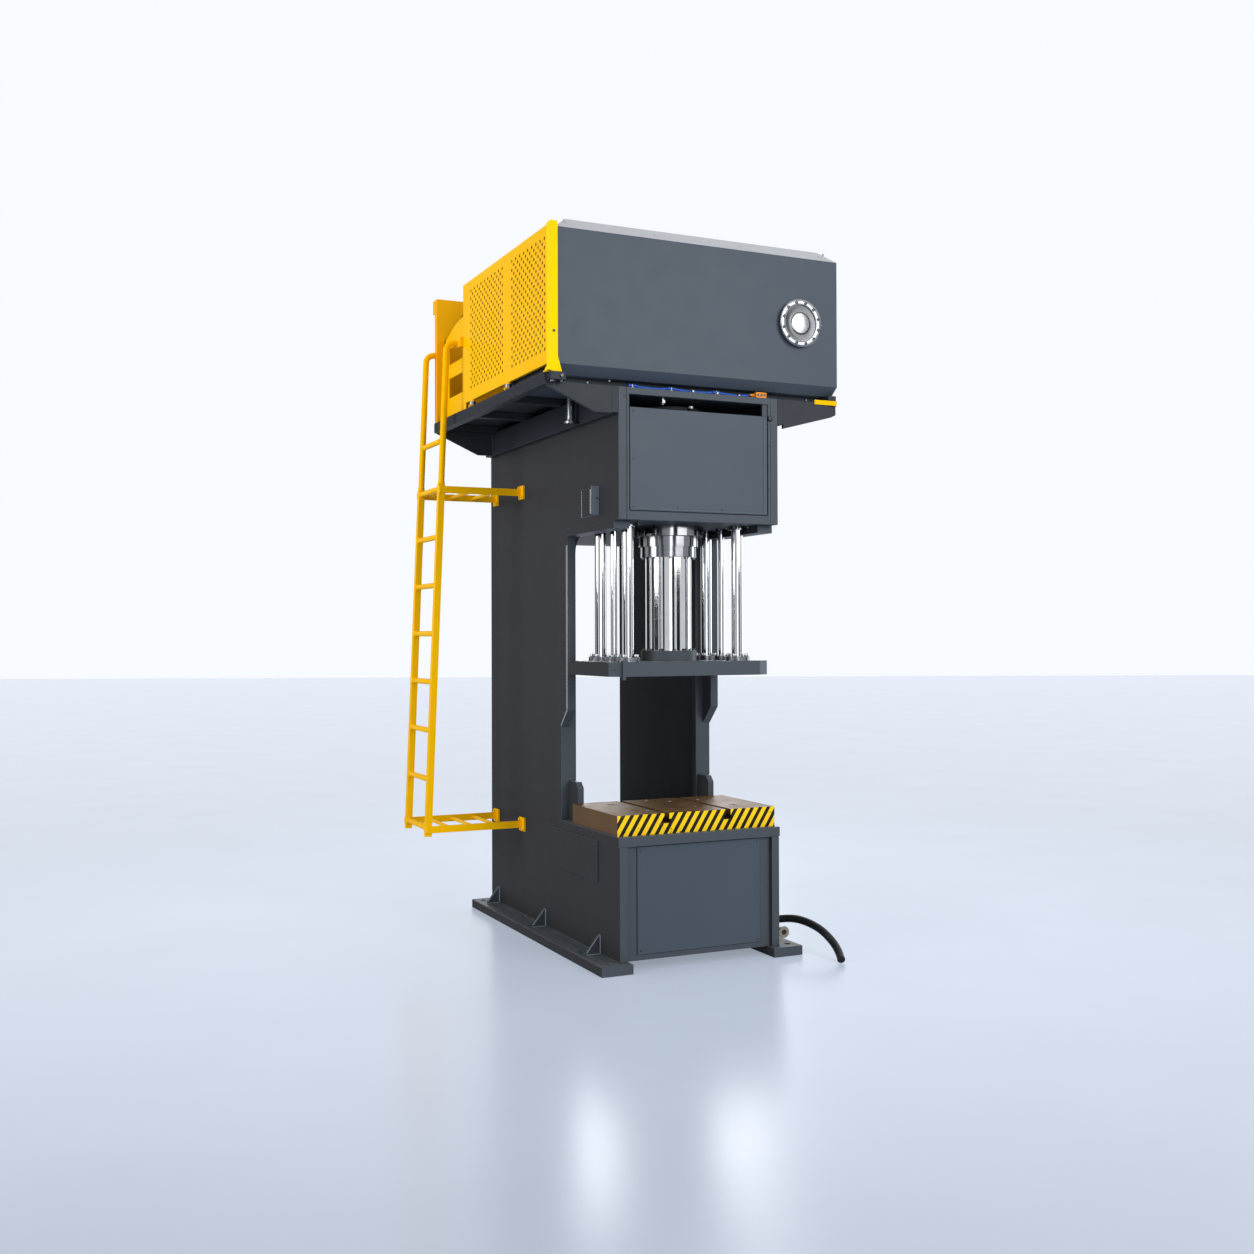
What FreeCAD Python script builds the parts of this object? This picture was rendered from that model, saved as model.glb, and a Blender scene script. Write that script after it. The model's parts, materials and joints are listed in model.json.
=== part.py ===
import FreeCAD
import Part
import Sketcher
import math
import os

# Hydraulic press with two side plates, a slide on guide rods, a roof deck with its
# oil tank and guards, and a service ladder. Millimetres, +Z up, front towards -Y.
# The origin lies on the floor at the centre of the anchor holes.

SIZES = {
    # side plates
    "frame_depth": 1920,
    "frame_width": 930,
    "frame_top": 2950,
    "plate_thickness": 45,
    "throat_depth": 810,
    "throat_floor": 630,
    "throat_top": 2280,
    "throat_corner": 130,
    # feet
    "foot_length": 2000,
    "foot_thickness": 50,
    "foot_reach": 118,
    "foot_inset": 12,
    "anchor_outset": 65,
    "anchor_end_margin": 70,
    "anchor_hole_radius": 17,
    "inner_anchor_spacing": 730,
    "inner_anchor_shift": 260,
    "gusset_reach": 79,
    "gusset_rise": 100,
    "gusset_thickness": 10,
    "gusset_tip": 12,
    "front_gusset_setback": 248,
    "middle_gusset_from_rear": 908,
    "rear_gusset_from_rear": 139,
    # throat
    "flange_thickness": 40,
    "flange_width": 90,
    "flange_setback": 60,
    "rail_depth": 100,
    "rail_bottom": 1290,
    "bracket_thickness": 35,
    "bracket_depth": 130,
    "bracket_height": 215,
    "bracket_bevel": 30,
    # base
    "web_thickness": 40,
    "rib_thickness": 30,
    "base_web_top": 600,
    "bed_plate_thickness": 50,
    "bed_plate_overhang": 5,
    "bed_plate_tail": 210,
    "cheek_thickness": 10,
    "cheek_front_setback": 267,
    "cheek_rear_setback": 870,
    "cheek_bottom": 418,
    "base_frame_setback": 25,
    "base_frame_thickness": 15,
    "base_window_margin": 90,
    "base_window_bottom": 110,
    "base_window_top": 600,
    "base_cover_margin": 62,
    "base_cover_bottom": 80,
    "base_cover_top": 625,
    "base_cover_thickness": 5,
    # bolster
    "bolster_width": 920,
    "bolster_front_setback": 40,
    "bolster_depth": 580,
    "bolster_thickness": 105,
    "slot_offset": 180,
    "slot_neck": 28,
    "slot_neck_depth": 30,
    "slot_head": 48,
    "slot_head_depth": 22,
    "bolster_bolt_inner_x": 70,
    "bolster_bolt_outer_x": 290,
    "bolster_bolt_front_setback": 190,
    "bolster_bolt_rear_setback": 490,
    "socket_head_radius": 18,
    "socket_head_height": 14,
    "counterbore_gap": 3,
    "counterbore_depth": 17,
    "socket_width": 17,
    "socket_depth": 7,
    # head
    "head_plate_thickness": 60,
    "head_top_thickness": 30,
    "head_frame_thickness": 25,
    "rebate_depth": 8,
    "rebate_margin": 15,
    "rebate_sill": 45,
    "rebate_header": 35,
    "head_window_margin": 35,
    "head_window_bottom": 2345,
    "head_window_top": 2800,
    "vent_bottom": 2850,
    "vent_left_margin": 20,
    "vent_right_margin": 44,
    "head_cover_thickness": 6,
    "head_cover_gap": 5,
    "side_beam_thickness": 34,
    "side_beam_height": 135,
    # press cylinder
    "ram_setback": 370,
    "cylinder_radius": 180,
    "cylinder_flange_radius": 220,
    "cylinder_flange_thickness": 60,
    "cylinder_bore_radius": 150,
    "cylinder_cap_bottom": 2850,
    "cylinder_top": 2905,
    "ring_nut_radius": 190,
    "ring_nut_height": 55,
    "gland_radius": 159.5,
    "gland_height": 55,
    "gland_spigot": 40,
    "wiper_radius": 149,
    "wiper_height": 56,
    "ram_radius": 125,
    "piston_bottom": 2470,
    "ram_top": 2590,
    "ram_flange_radius": 150,
    "ram_flange_height": 55,
    "running_gap": 0.3,
    # slide
    "platen_bottom": 1485,
    "platen_thickness": 75,
    "platen_overhang": 3,
    "platen_front_setback": 80,
    "platen_depth": 540,
    "platen_chamfer_x": 70,
    "platen_chamfer_y": 45,
    "tapped_hole_inner_x": 110,
    "tapped_hole_outer_x": 240,
    "tapped_hole_radius": 10.5,
    "tapped_hole_depth": 45,
    "rod_x": 325,
    "rod_front_setback": 195,
    "rod_rear_setback": 545,
    "guide_rod_radius": 31,
    "position_rod_radius": 17,
    "guide_bush_radius": 42,
    "position_bush_radius": 26,
    "bush_collar": 6,
    "bush_collar_height": 18,
    "bush_rise": 50,
    "rod_flange_radius": 65,
    "small_rod_flange_radius": 40,
    "rod_flange_height": 22,
    "rod_bolt_circle": 48,
    "small_rod_bolt_circle": 28,
    "rod_bolt_width": 24,
    "rod_bolt_height": 16,
    "small_bolt_width": 13,
    "small_bolt_height": 9,
    "shoe_arm_width": 40,
    "shoe_arm_depth": 70,
    "shoe_overlap": 25,
    "pointer_inset": 64,
    "pointer_width": 16,
    "pointer_thickness": 12,
    "pointer_drop": 17,
    "pointer_rise": 8,
    # deck
    "deck_left": 870,
    "deck_right": 835,
    "deck_beam_width": 50,
    "deck_beam_height": 60,
    "deck_top": 2990,
    "deck_end_from_rear": 115,
    "cross_beam_height": 40,
    "first_cross_beam_setback": 120,
    "second_cross_beam_setback": 700,
    "third_cross_beam_from_rear": 670,
    "fourth_cross_beam_from_rear": 140,
    "haunch_thickness": 16,
    "haunch_drop": 139,
    "haunch_root": 94,
    "haunch_tip": 10,
    "right_haunch_drop": 157,
    "right_haunch_tip": 4,
    "right_haunch_nose": 64,
    "right_haunch_bevel_x": 30,
    "right_haunch_bevel_z": 14,
    "lug_depth": 45,
    "lug_inner_x": 766,
    "lug_outer_x": 850,
    "deck_plate_thickness": 6,
    "deck_plate_gap": 6,
    "deck_plate_side_gap": 10,
    # tank
    "tank_left": 803,
    "tank_right": 830,
    "tank_front_overhang": 16,
    "tank_depth": 700,
    "tank_height": 720,
    "tank_wall": 6,
    "tank_chamfer_y": 56,
    "tank_chamfer_z": 45,
    "lid_height": 65,
    "lid_inset": 76,
    "lid_wall": 4,
    "manhole_x": 588,
    "manhole_z": 3356,
    "manhole_radius": 127,
    "manhole_mouth": 85,
    "manhole_flange_thickness": 14,
    "manhole_cover_thickness": 12,
    "manhole_dish_radius": 78,
    "manhole_dish_floor": 47,
    "manhole_dish_depth": 7,
    "manhole_bolt_circle": 108,
    "manhole_bolt_count": 12,
    "manhole_bolt_width": 19,
    "manhole_bolt_height": 9,
    # guards
    "guard_bottom": 3039,
    "guard_top": 3725,
    "guard_sheet": 3,
    "guard_face_x": 838,
    "guard_front_overhang": 27,
    "guard_post_from_rear": 550,
    "guard_post_size": 40,
    "guard_post_top": 3740,
    "guard_hole_radius": 9,
    "guard_hole_pitch_y": 56,
    "guard_hole_pitch_z": 58,
    "guard_hole_columns": 9,
    "guard_hole_rows": 10,
    "guard_field_bottom": 3118,
    "guard_front_field_setback": 68,
    "guard_rear_field_setback": 692,
    "corner_post_leg": 6,
    "corner_post_depth": 53,
    "corner_post_width": 39,
    "corner_post_foot": 38,
    "corner_post_flare": 22,
    "socket_setback": 576,
    "rear_socket_from_rear": 760,
    "socket_plate_half": 20,
    "socket_plate_thickness": 16,
    "socket_pin_radius": 14,
    "rear_post_width": 44,
    "rear_post_inset": 6,
    "rear_rail_height": 80,
    "rear_rail_depth": 80,
    "rear_gusset_reach": 120,
    "rear_gusset_drop": 175,
    "toe_strip_inner_x": 694,
    "toe_strip_height": 24,
    "toe_strip_top": 2961,
    # ladder gate
    "gate_bottom": 3020,
    "gate_low_top": 3490,
    "gate_high_top": 3565,
    "gate_sheet": 4,
    "gate_stop_gap": 2,
    "gate_overlap": 30,
    "gate_window_front": 20,
    "gate_window_length": 245,
    "gate_window_height": 96,
    "gate_window_lower": 3130,
    "gate_window_upper": 3328,
    "hinge_radius": 9,
    "hinge_pin_radius": 5,
    "hinge_length": 60,
    "hinge_lower": 3070,
    "hinge_upper": 3380,
    # ladder
    "ladder_front_from_rear": 530,
    "ladder_rear_from_rear": 130,
    "ladder_foot_x": -1040,
    "ladder_foot_z": 545,
    "ladder_lean": 2.38,
    "stringer_size": 36,
    "stringer_length": 2036,
    "rung_radius": 12,
    "rung_first_z": 591,
    "rung_pitch": 280,
    "rung_count": 9,
    "handrail_bend": 50,
    "handrail_top": 3400,
    "collar_radius": 20,
    "collar_height": 24,
    "arm_thickness": 12,
    "arm_height": 40,
    "lower_arm_z": 585,
    "upper_arm_z": 2543,
    "arm_bar_radius": 10,
    "arm_bar_first_x": -620,
    "arm_bar_pitch": 140,
    "arm_pad_size": 80,
    "arm_pad_thickness": 10,
    # hydraulic unit on the deck
    "motor_x": -180,
    "motor_from_rear": 600,
    "motor_radius": 125,
    "motor_length": 360,
    "motor_axis_height": 150,
    "motor_foot_half": 110,
    "motor_foot_thickness": 16,
    "bell_radius": 105,
    "bell_length": 90,
    "pump_radius": 75,
    "pump_length": 150,
    "block_x": 480,
    "block_from_rear": 900,
    "block_width": 220,
    "block_depth": 160,
    "block_height": 190,
    "valve_length": 140,
    "valve_pitch": 69,
    "valve_radius": 27,
    "pipe_radius": 17,
    "pipe_bend": 55,
    "pipe_hole_gap": 6,
    "pipe_x": 300,
    "pipe_port_z": 2700,
    "drain_outset": 73,
    "drain_setback": 446,
    "drain_radius": 22,
    "drain_bottom": 2817,
    "drain_flange_radius": 34,
    "drain_flange_thickness": 12,
    # fittings on the head
    "air_line_radius": 5,
    "air_line_setback": 38,
    "air_line_left": -388,
    "air_line_right": 302,
    "air_line_rise": 14,
    "first_fitting_x": -374,
    "second_fitting_x": -195,
    "third_fitting_x": 26,
    "left_vent_x": -215,
    "right_vent_x": -50,
    "fitting_radius": 11,
    "fitting_height": 26,
    "clamp_x": 369,
    "clamp_length": 62,
    "clamp_width": 20,
    "clamp_height": 28,
    "clamp_hole_radius": 6,
    "clamp_hole_pitch": 19,
    "vent_fitting_drop": 40,
    "side_bracket_front_setback": 229,
    "side_bracket_rear_setback": 466,
    "side_bracket_bottom": 2316,
    "side_bracket_top": 2470,
    "side_bracket_sheet": 6,
    "side_bracket_reach": 46,
    "side_bracket_web_setback": 298,
    "screw_radius": 6,
    "screw_height": 4,
    "frame_bolt_x": 430,
    "frame_bolt_z": 2841,
    "frame_bolt_width": 28,
    "frame_bolt_height": 12,
    "pad_bolt_width": 17,
    # hose and elbow at the base
    "hose_radius": 21,
    "gland_body_radius": 31,
    "elbow_setback": 82,
    "elbow_z": 113,
    "elbow_bend": 44,
    "elbow_radius": 22,
    "elbow_bore": 15,
    "elbow_flange_radius": 31,
    "elbow_flange_thickness": 12,
}

doc = FreeCAD.newDocument("hydraulic_press")
sheet = doc.addObject("Spreadsheet::Sheet", "Sizes")
for row, (alias, value) in enumerate(SIZES.items(), start=1):
    sheet.set(f"A{row}", alias)
    sheet.set(f"B{row}", str(value))
    sheet.setAlias(f"B{row}", alias)
doc.recompute()


class Length:
    """A size with its value in millimetres and the sheet formula that gives it."""

    def __init__(self, value, formula):
        self.value = value
        self.formula = formula

    def __add__(self, other):
        other = as_length(other)
        return Length(self.value + other.value, f"({self.formula} + {other.formula})")

    def __sub__(self, other):
        other = as_length(other)
        return Length(self.value - other.value, f"({self.formula} - {other.formula})")

    def __mul__(self, factor):
        factor = as_length(factor)
        return Length(self.value * factor.value, f"({self.formula} * {factor.formula})")

    def __truediv__(self, divisor):
        divisor = as_length(divisor)
        return Length(self.value / divisor.value, f"({self.formula} / {divisor.formula})")

    def __neg__(self):
        return Length(-self.value, f"(0 - {self.formula})")


def as_length(number):
    """Give a plain number the same form as a size from the sheet."""
    if isinstance(number, Length):
        return number
    return Length(number, f"({number:.9f})")


class Sizes:
    """The driving dimensions: size.frame_depth is the sheet's frame_depth."""

    def __getattr__(self, alias):
        return Length(SIZES[alias], f"Sizes.{alias}")


size = Sizes()
ZERO = as_length(0)
kept = {}


# ---------------------------------------------------------------- building blocks

def bind(feature, setting, length):
    """Tie one setting of a feature to its formula."""
    feature.setExpression(setting, as_length(length).formula)


def place(feature, x, y, z):
    """Tie the position of a feature to three lengths."""
    for axis, length in (("x", x), ("y", y), ("z", z)):
        bind(feature, f"Placement.Base.{axis}", length)


def block(name, x_span, y_span, z_span):
    """A box between two lengths on each axis."""
    box = doc.addObject("Part::Box", name)
    for setting, (low, high) in zip(("Length", "Width", "Height"), (x_span, y_span, z_span)):
        bind(box, setting, as_length(high) - low)
    place(box, x_span[0], y_span[0], z_span[0])
    return box


AXIS_TURNS = {
    "x": FreeCAD.Rotation(FreeCAD.Vector(0, 1, 0), 90),
    "y": FreeCAD.Rotation(FreeCAD.Vector(1, 0, 0), -90),
    "z": FreeCAD.Rotation(),
}


def rod(name, axis, centre, span, radius):
    """A cylinder along x, y or z; centre gives its two other coordinates in order."""
    low, high = span
    cylinder = doc.addObject("Part::Cylinder", name)
    cylinder.Placement = FreeCAD.Placement(FreeCAD.Vector(), AXIS_TURNS[axis])
    bind(cylinder, "Radius", radius)
    bind(cylinder, "Height", as_length(high) - low)
    position = list(centre)
    position.insert("xyz".index(axis), low)
    place(cylinder, *position)
    return cylinder


def hexagon(name, axis, centre, span, width):
    """A hexagonal prism along x, y or z, measured across its flats."""
    low, high = span
    prism = doc.addObject("Part::Prism", name)
    prism.Polygon = 6
    prism.Placement = FreeCAD.Placement(FreeCAD.Vector(), AXIS_TURNS[axis])
    bind(prism, "Circumradius", as_length(width) / math.sqrt(3))
    bind(prism, "Height", as_length(high) - low)
    position = list(centre)
    position.insert("xyz".index(axis), low)
    place(prism, *position)
    return prism


def cut(name, base, *tools):
    """The base without the tools."""
    result = base
    for number, tool in enumerate(tools):
        step = doc.addObject("Part::Cut", f"{name}_{number}")
        step.Base = result
        step.Tool = tool
        step.Refine = True
        result = step
    return result


def fuse(name, *pieces):
    """Pieces welded into one."""
    fusion = doc.addObject("Part::MultiFuse", name)
    fusion.Shapes = list(pieces)
    fusion.Refine = True
    return fusion


def group(name, pieces):
    """Separate solids that share one node."""
    compound = doc.addObject("Part::Compound", name)
    compound.Links = list(pieces)
    return compound


def keep(label, feature):
    """Register a finished sub-part under its node name."""
    feature.Label = label
    kept[label] = feature
    return feature


def origin_plane(body, plane):
    """The body's own origin plane XY, XZ or YZ."""
    for feature in body.Origin.OriginFeatures:
        if feature.Role == f"{plane}_Plane":
            return feature
    raise ValueError(f"no plane {plane}")


def fix_point(sketch, geometry, end, x, y):
    """Fix one end of a sketch line at two lengths."""
    for kind, length in (("DistanceX", x), ("DistanceY", y)):
        number = sketch.addConstraint(
            Sketcher.Constraint(kind, -1, 1, geometry, end, length.value))
        sketch.setExpression(f"Constraints[{number}]", length.formula)


def towards(start, end):
    """Signs of the direction from one corner to an axis-aligned neighbour."""
    return tuple((b.value > a.value) - (b.value < a.value) for a, b in zip(start, end))


def draw_outline(sketch, outline):
    """Draw a closed outline of (x, y) corners, or (x, y, radius) where it is rounded."""
    corners = [tuple(as_length(number) for number in corner) for corner in outline]
    stops = []
    arcs = []
    for index, corner in enumerate(corners):
        point = corner[:2]
        if len(corner) == 2:
            stops.append((point, point))
            continue
        radius = corner[2]
        back = towards(point, corners[index - 1][:2])
        ahead = towards(point, corners[(index + 1) % len(corners)][:2])
        first = tuple(p + radius * s for p, s in zip(point, back))
        last = tuple(p + radius * s for p, s in zip(point, ahead))
        centre = tuple(p + radius * (b + a) for p, b, a in zip(point, back, ahead))
        stops.append((first, last))
        arcs.append((index, first, last, centre, radius))
    count = len(stops)
    for index in range(count):
        start = stops[index][1]
        end = stops[(index + 1) % count][0]
        sketch.addGeometry(Part.LineSegment(
            FreeCAD.Vector(start[0].value, start[1].value, 0),
            FreeCAD.Vector(end[0].value, end[1].value, 0)))
    rounded = {index for index, *rest in arcs}
    for index in range(count):
        following = (index + 1) % count
        if following not in rounded:
            sketch.addConstraint(Sketcher.Constraint("Coincident", index, 2, following, 1))
        else:
            fix_point(sketch, index, 2, *stops[following][0])
        fix_point(sketch, index, 1, *stops[index][1])
    for index, first, last, centre, radius in arcs:
        angles = [math.atan2(point[1].value - centre[1].value, point[0].value - centre[0].value)
                  for point in (first, last)]
        forwards = math.sin(angles[1] - angles[0]) > 0
        if not forwards:
            angles.reverse()
        circle = Part.Circle(FreeCAD.Vector(centre[0].value, centre[1].value, 0),
                             FreeCAD.Vector(0, 0, 1), radius.value)
        arc = sketch.addGeometry(Part.ArcOfCircle(circle, angles[0], angles[1]))
        start_end, last_end = (1, 2) if forwards else (2, 1)
        sketch.addConstraint(
            Sketcher.Constraint("Coincident", arc, start_end, (index - 1) % count, 2))
        sketch.addConstraint(Sketcher.Constraint("Coincident", arc, last_end, index, 1))
        number = sketch.addConstraint(
            Sketcher.Constraint("DistanceX", -1, 1, arc, 3, centre[0].value))
        sketch.setExpression(f"Constraints[{number}]", centre[0].formula)


def draw_circle(sketch, x, y, radius):
    """Draw a circle fixed at its centre."""
    x, y, radius = (as_length(number) for number in (x, y, radius))
    circle = sketch.addGeometry(Part.Circle(
        FreeCAD.Vector(x.value, y.value, 0), FreeCAD.Vector(0, 0, 1), radius.value))
    fix_point(sketch, circle, 3, x, y)
    number = sketch.addConstraint(Sketcher.Constraint("Radius", circle, radius.value))
    sketch.setExpression(f"Constraints[{number}]", radius.formula)


def sketch_in(body, name, plane, offset, outline, circles=()):
    """A sketch at an offset from one of the body's origin planes."""
    sketch = body.newObject("Sketcher::SketchObject", name)
    sketch.AttachmentSupport = [(origin_plane(body, plane), "")]
    sketch.MapMode = "FlatFace"
    bind(sketch, "AttachmentOffset.Base.z", offset)
    draw_outline(sketch, outline)
    for circle in circles:
        draw_circle(sketch, *circle)
    return sketch


def plate(name, plane, outline, span, circles=()):
    """A plate padded from an outline; the span runs along the axis off the plane."""
    low, high = (as_length(end) for end in span)
    body = doc.addObject("PartDesign::Body", name)
    offset = -high if plane == "XZ" else low
    sketch = sketch_in(body, f"{name}_outline", plane, offset, outline, circles)
    pad = body.newObject("PartDesign::Pad", f"{name}_pad")
    pad.Profile = sketch
    bind(pad, "Length", high - low)
    return body


def pocket(body, name, plane, outline, span):
    """Cut an outline out of a body between two lengths."""
    low, high = (as_length(end) for end in span)
    offset = -low if plane == "XZ" else high
    sketch = sketch_in(body, f"{name}_outline", plane, offset, outline)
    hollow = body.newObject("PartDesign::Pocket", name)
    hollow.Profile = sketch
    bind(hollow, "Length", high - low)
    return hollow


def turned(name, profile, x, y, z=ZERO, axis="z"):
    """A turned piece; the profile holds (radius, height) corners along its axis."""
    body = doc.addObject("PartDesign::Body", name)
    sketch = sketch_in(body, f"{name}_profile", "XZ", ZERO, profile)
    revolution = body.newObject("PartDesign::Revolution", f"{name}_turn")
    revolution.Profile = sketch
    revolution.ReferenceAxis = (sketch, ["V_Axis"])
    revolution.Angle = 360
    body.Placement = FreeCAD.Placement(FreeCAD.Vector(), AXIS_TURNS[axis])
    place(body, x, y, z)
    return body


def rectangle(low_x, high_x, low_y, high_y):
    """Corners of a rectangle."""
    return [(low_x, low_y), (high_x, low_y), (high_x, high_y), (low_x, high_y)]


def on_side(side, low, high):
    """A span at the right (side 1) or mirrored to the left (side -1)."""
    if side > 0:
        return (low, high)
    return (-high, -low)


def route_path(points, radii):
    """Straight runs joined by tangent arcs, as one wire."""
    edges = []
    start = points[0]
    for index in range(1, len(points) - 1):
        corner = points[index]
        back = (points[index - 1] - corner).normalize()
        ahead = (points[index + 1] - corner).normalize()
        half_turn = (math.pi - back.getAngle(ahead)) / 2
        reach = radii[index - 1] * math.tan(half_turn)
        first = corner + back * reach
        last = corner + ahead * reach
        middle_way = (back + ahead).normalize()
        drop = radii[index - 1] * (1 / math.cos(half_turn) - 1)
        edges.append(Part.LineSegment(start, first).toShape())
        edges.append(Part.Arc(first, corner + middle_way * drop, last).toShape())
        start = last
    edges.append(Part.LineSegment(start, points[-1]).toShape())
    return Part.Wire(edges)


def bent_tube(name, points, radii, radius):
    """A round bar along a bent route of (x, y, z) lengths."""
    spots = [FreeCAD.Vector(*(as_length(number).value for number in tuple(point)))
             for point in points]
    bends = [as_length(bend).value for bend in radii]
    path = route_path(spots, bends)
    section = Part.Wire(Part.Circle(spots[0], spots[1] - spots[0], radius.value).toShape())
    bar = doc.addObject("Part::Feature", name)
    bar.Shape = path.makePipeShell([section], True, False)
    expected = math.pi * radius.value ** 2 * path.Length
    if abs(bar.Shape.Volume / expected - 1) > 0.01:
        raise ValueError(f"{name} has {bar.Shape.Volume} and not {expected}")
    return bar


# ---------------------------------------------------------------- shared places

front_y = -size.frame_depth / 2
rear_y = size.frame_depth / 2
outer_x = size.frame_width / 2
inner_x = outer_x - size.plate_thickness
platen_half = outer_x + size.platen_overhang
shoe_inner_x = inner_x - size.shoe_arm_width
base_cover_x = inner_x - size.base_cover_margin
drain_x = -outer_x - size.drain_outset
throat_y = front_y + size.throat_depth
front_gusset_y = front_y + size.front_gusset_setback
cheek_front_y = front_y + size.cheek_front_setback
cheek_rear_y = front_y + size.cheek_rear_setback
bolster_front_y = front_y + size.bolster_front_setback
bolster_bolt_front_y = front_y + size.bolster_bolt_front_setback
bolster_bolt_rear_y = front_y + size.bolster_bolt_rear_setback
ram_y = front_y + size.ram_setback
platen_front_y = front_y + size.platen_front_setback
rod_front_y = front_y + size.rod_front_setback
rod_rear_y = front_y + size.rod_rear_setback
first_cross_beam_y = front_y + size.first_cross_beam_setback
second_cross_beam_y = front_y + size.second_cross_beam_setback
tank_front_y = front_y - size.tank_front_overhang
guard_front_y = front_y - size.guard_front_overhang
guard_front_field_y = front_y + size.guard_front_field_setback
guard_rear_field_y = front_y + size.guard_rear_field_setback
socket_y = front_y + size.socket_setback
drain_y = front_y + size.drain_setback
air_line_y = front_y + size.air_line_setback
side_bracket_front_y = front_y + size.side_bracket_front_setback
side_bracket_rear_y = front_y + size.side_bracket_rear_setback
side_bracket_web_y = front_y + size.side_bracket_web_setback
elbow_y = front_y + size.elbow_setback
rear_gusset_y = rear_y - size.rear_gusset_from_rear
deck_rear_y = rear_y - size.deck_end_from_rear
third_cross_beam_y = rear_y - size.third_cross_beam_from_rear
fourth_cross_beam_y = rear_y - size.fourth_cross_beam_from_rear
guard_post_y = rear_y - size.guard_post_from_rear
rear_socket_y = rear_y - size.rear_socket_from_rear
ladder_front_y = rear_y - size.ladder_front_from_rear
ladder_rear_y = rear_y - size.ladder_rear_from_rear
motor_y = rear_y - size.motor_from_rear
block_y = rear_y - size.block_from_rear
middle_gusset_y = rear_y - size.middle_gusset_from_rear
flange_y = throat_y - size.flange_thickness
rail_y = flange_y - size.rail_depth
bed_top = size.throat_floor + size.bed_plate_thickness
head_inside_y = front_y + size.head_frame_thickness
head_plate_top = size.throat_top + size.head_plate_thickness
head_top_underside = size.frame_top - size.head_top_thickness
platen_top = size.platen_bottom + size.platen_thickness
platen_rear_y = platen_front_y + size.platen_depth
beam_bottom = size.deck_top - size.deck_beam_height
tank_rear_y = tank_front_y + size.tank_depth
tank_top = size.deck_top + size.tank_height
deck_plate_top = size.deck_top + size.deck_plate_thickness
gate_front_y = guard_post_y + size.guard_post_size - size.gate_overlap
rear_post_y = deck_rear_y - size.rear_post_width
lean = math.tan(math.radians(SIZES["ladder_lean"]))


def ladder_x(z):
    """The stringers' centre line at a height."""
    return size.ladder_foot_x + (z - size.ladder_foot_z) * lean


# ---------------------------------------------------------------- frame

def side_plate(name, side):
    """A side plate with the open throat that the work goes into."""
    outline = [
        (front_y, size.foot_thickness),
        (rear_y, size.foot_thickness),
        (rear_y, size.frame_top),
        (front_y, size.frame_top),
        (front_y, size.throat_top),
        (throat_y, size.throat_top, size.throat_corner),
        (throat_y, size.throat_floor),
        (front_y, size.throat_floor),
    ]
    return plate(name, "YZ", outline, on_side(side, inner_x, outer_x))


def foot_plate(name, side):
    """A foot plate with its four anchor holes."""
    low, high = on_side(side, inner_x - size.foot_inset, outer_x + size.foot_reach)
    hole_x = (outer_x + size.anchor_outset) * side
    end_y = size.foot_length / 2 - size.anchor_end_margin
    hole_ys = (
        -end_y,
        end_y,
        -size.inner_anchor_shift - size.inner_anchor_spacing / 2,
        -size.inner_anchor_shift + size.inner_anchor_spacing / 2,
    )
    holes = [(hole_x, y, size.anchor_hole_radius) for y in hole_ys]
    outline = rectangle(low, high, -size.foot_length / 2, size.foot_length / 2)
    return plate(name, "XY", outline, (ZERO, size.foot_thickness), holes)


def foot_gussets():
    """Six triangular ribs between the side plates and their feet."""
    gussets = []
    for side in (-1, 1):
        for y in (front_gusset_y, middle_gusset_y, rear_gusset_y):
            foot = size.foot_thickness
            outline = [
                (outer_x * side, foot),
                ((outer_x + size.gusset_reach) * side, foot),
                ((outer_x + size.gusset_reach) * side, foot + size.gusset_tip),
                ((outer_x + size.gusset_tip) * side, foot + size.gusset_rise),
                (outer_x * side, foot + size.gusset_rise),
            ]
            span = (y - size.gusset_thickness / 2, y + size.gusset_thickness / 2)
            gussets.append(plate("foot_gusset", "XZ", outline, span))
    return group("gusset_group", gussets)


def throat_flanges():
    """Flat bars bent round the throat's rear edge and under the head."""
    low_x = outer_x - size.flange_width
    outer_bend = size.throat_corner + size.running_gap
    outline = [
        (throat_y, bed_top),
        (throat_y, size.throat_top, outer_bend),
        (front_y + size.flange_setback, size.throat_top),
        (front_y + size.flange_setback, size.throat_top - size.flange_thickness),
        (flange_y, size.throat_top - size.flange_thickness, outer_bend - size.flange_thickness),
        (flange_y, bed_top),
    ]
    bars = [plate("throat_flange", "YZ", outline, on_side(side, low_x, outer_x))
            for side in (-1, 1)]
    return group("flange_group", bars)


def guide_rails():
    """Rails on the flanges, cut at 45 degrees below and bent with the flanges above."""
    top = size.throat_top - size.flange_thickness
    inner_bend = size.throat_corner + size.running_gap - size.flange_thickness
    outline = [
        (rail_y, size.rail_bottom),
        (flange_y, size.rail_bottom - size.rail_depth),
        (flange_y, top, inner_bend),
        (rail_y, top),
    ]
    rails = [plate("guide_rail", "YZ", outline, on_side(side, inner_x, outer_x))
             for side in (-1, 1)]
    return group("rail_group", rails)


def frame_webs():
    """Cross plates that tie the side plates together behind the base and over the head."""
    across = (-inner_x, inner_x)
    rear = (rear_y - size.web_thickness, rear_y)
    bed_web = (throat_y + size.bed_plate_tail / 2, throat_y + size.bed_plate_tail / 2 + size.web_thickness)
    base_inside = front_y + size.base_frame_setback + size.base_frame_thickness
    rib = (-size.rib_thickness / 2, size.rib_thickness / 2)
    return group("web_group", [
        block("base_rear_web", across, rear, (size.foot_thickness, size.base_web_top)),
        block("bed_rear_web", across, bed_web, (size.foot_thickness, size.throat_floor)),
        block("bed_rib", rib, (base_inside, bed_web[0]), (size.foot_thickness, size.throat_floor)),
        block("head_rear_web", across, rear, (size.throat_top, head_top_underside)),
        head_top_plate(),
    ])


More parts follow.
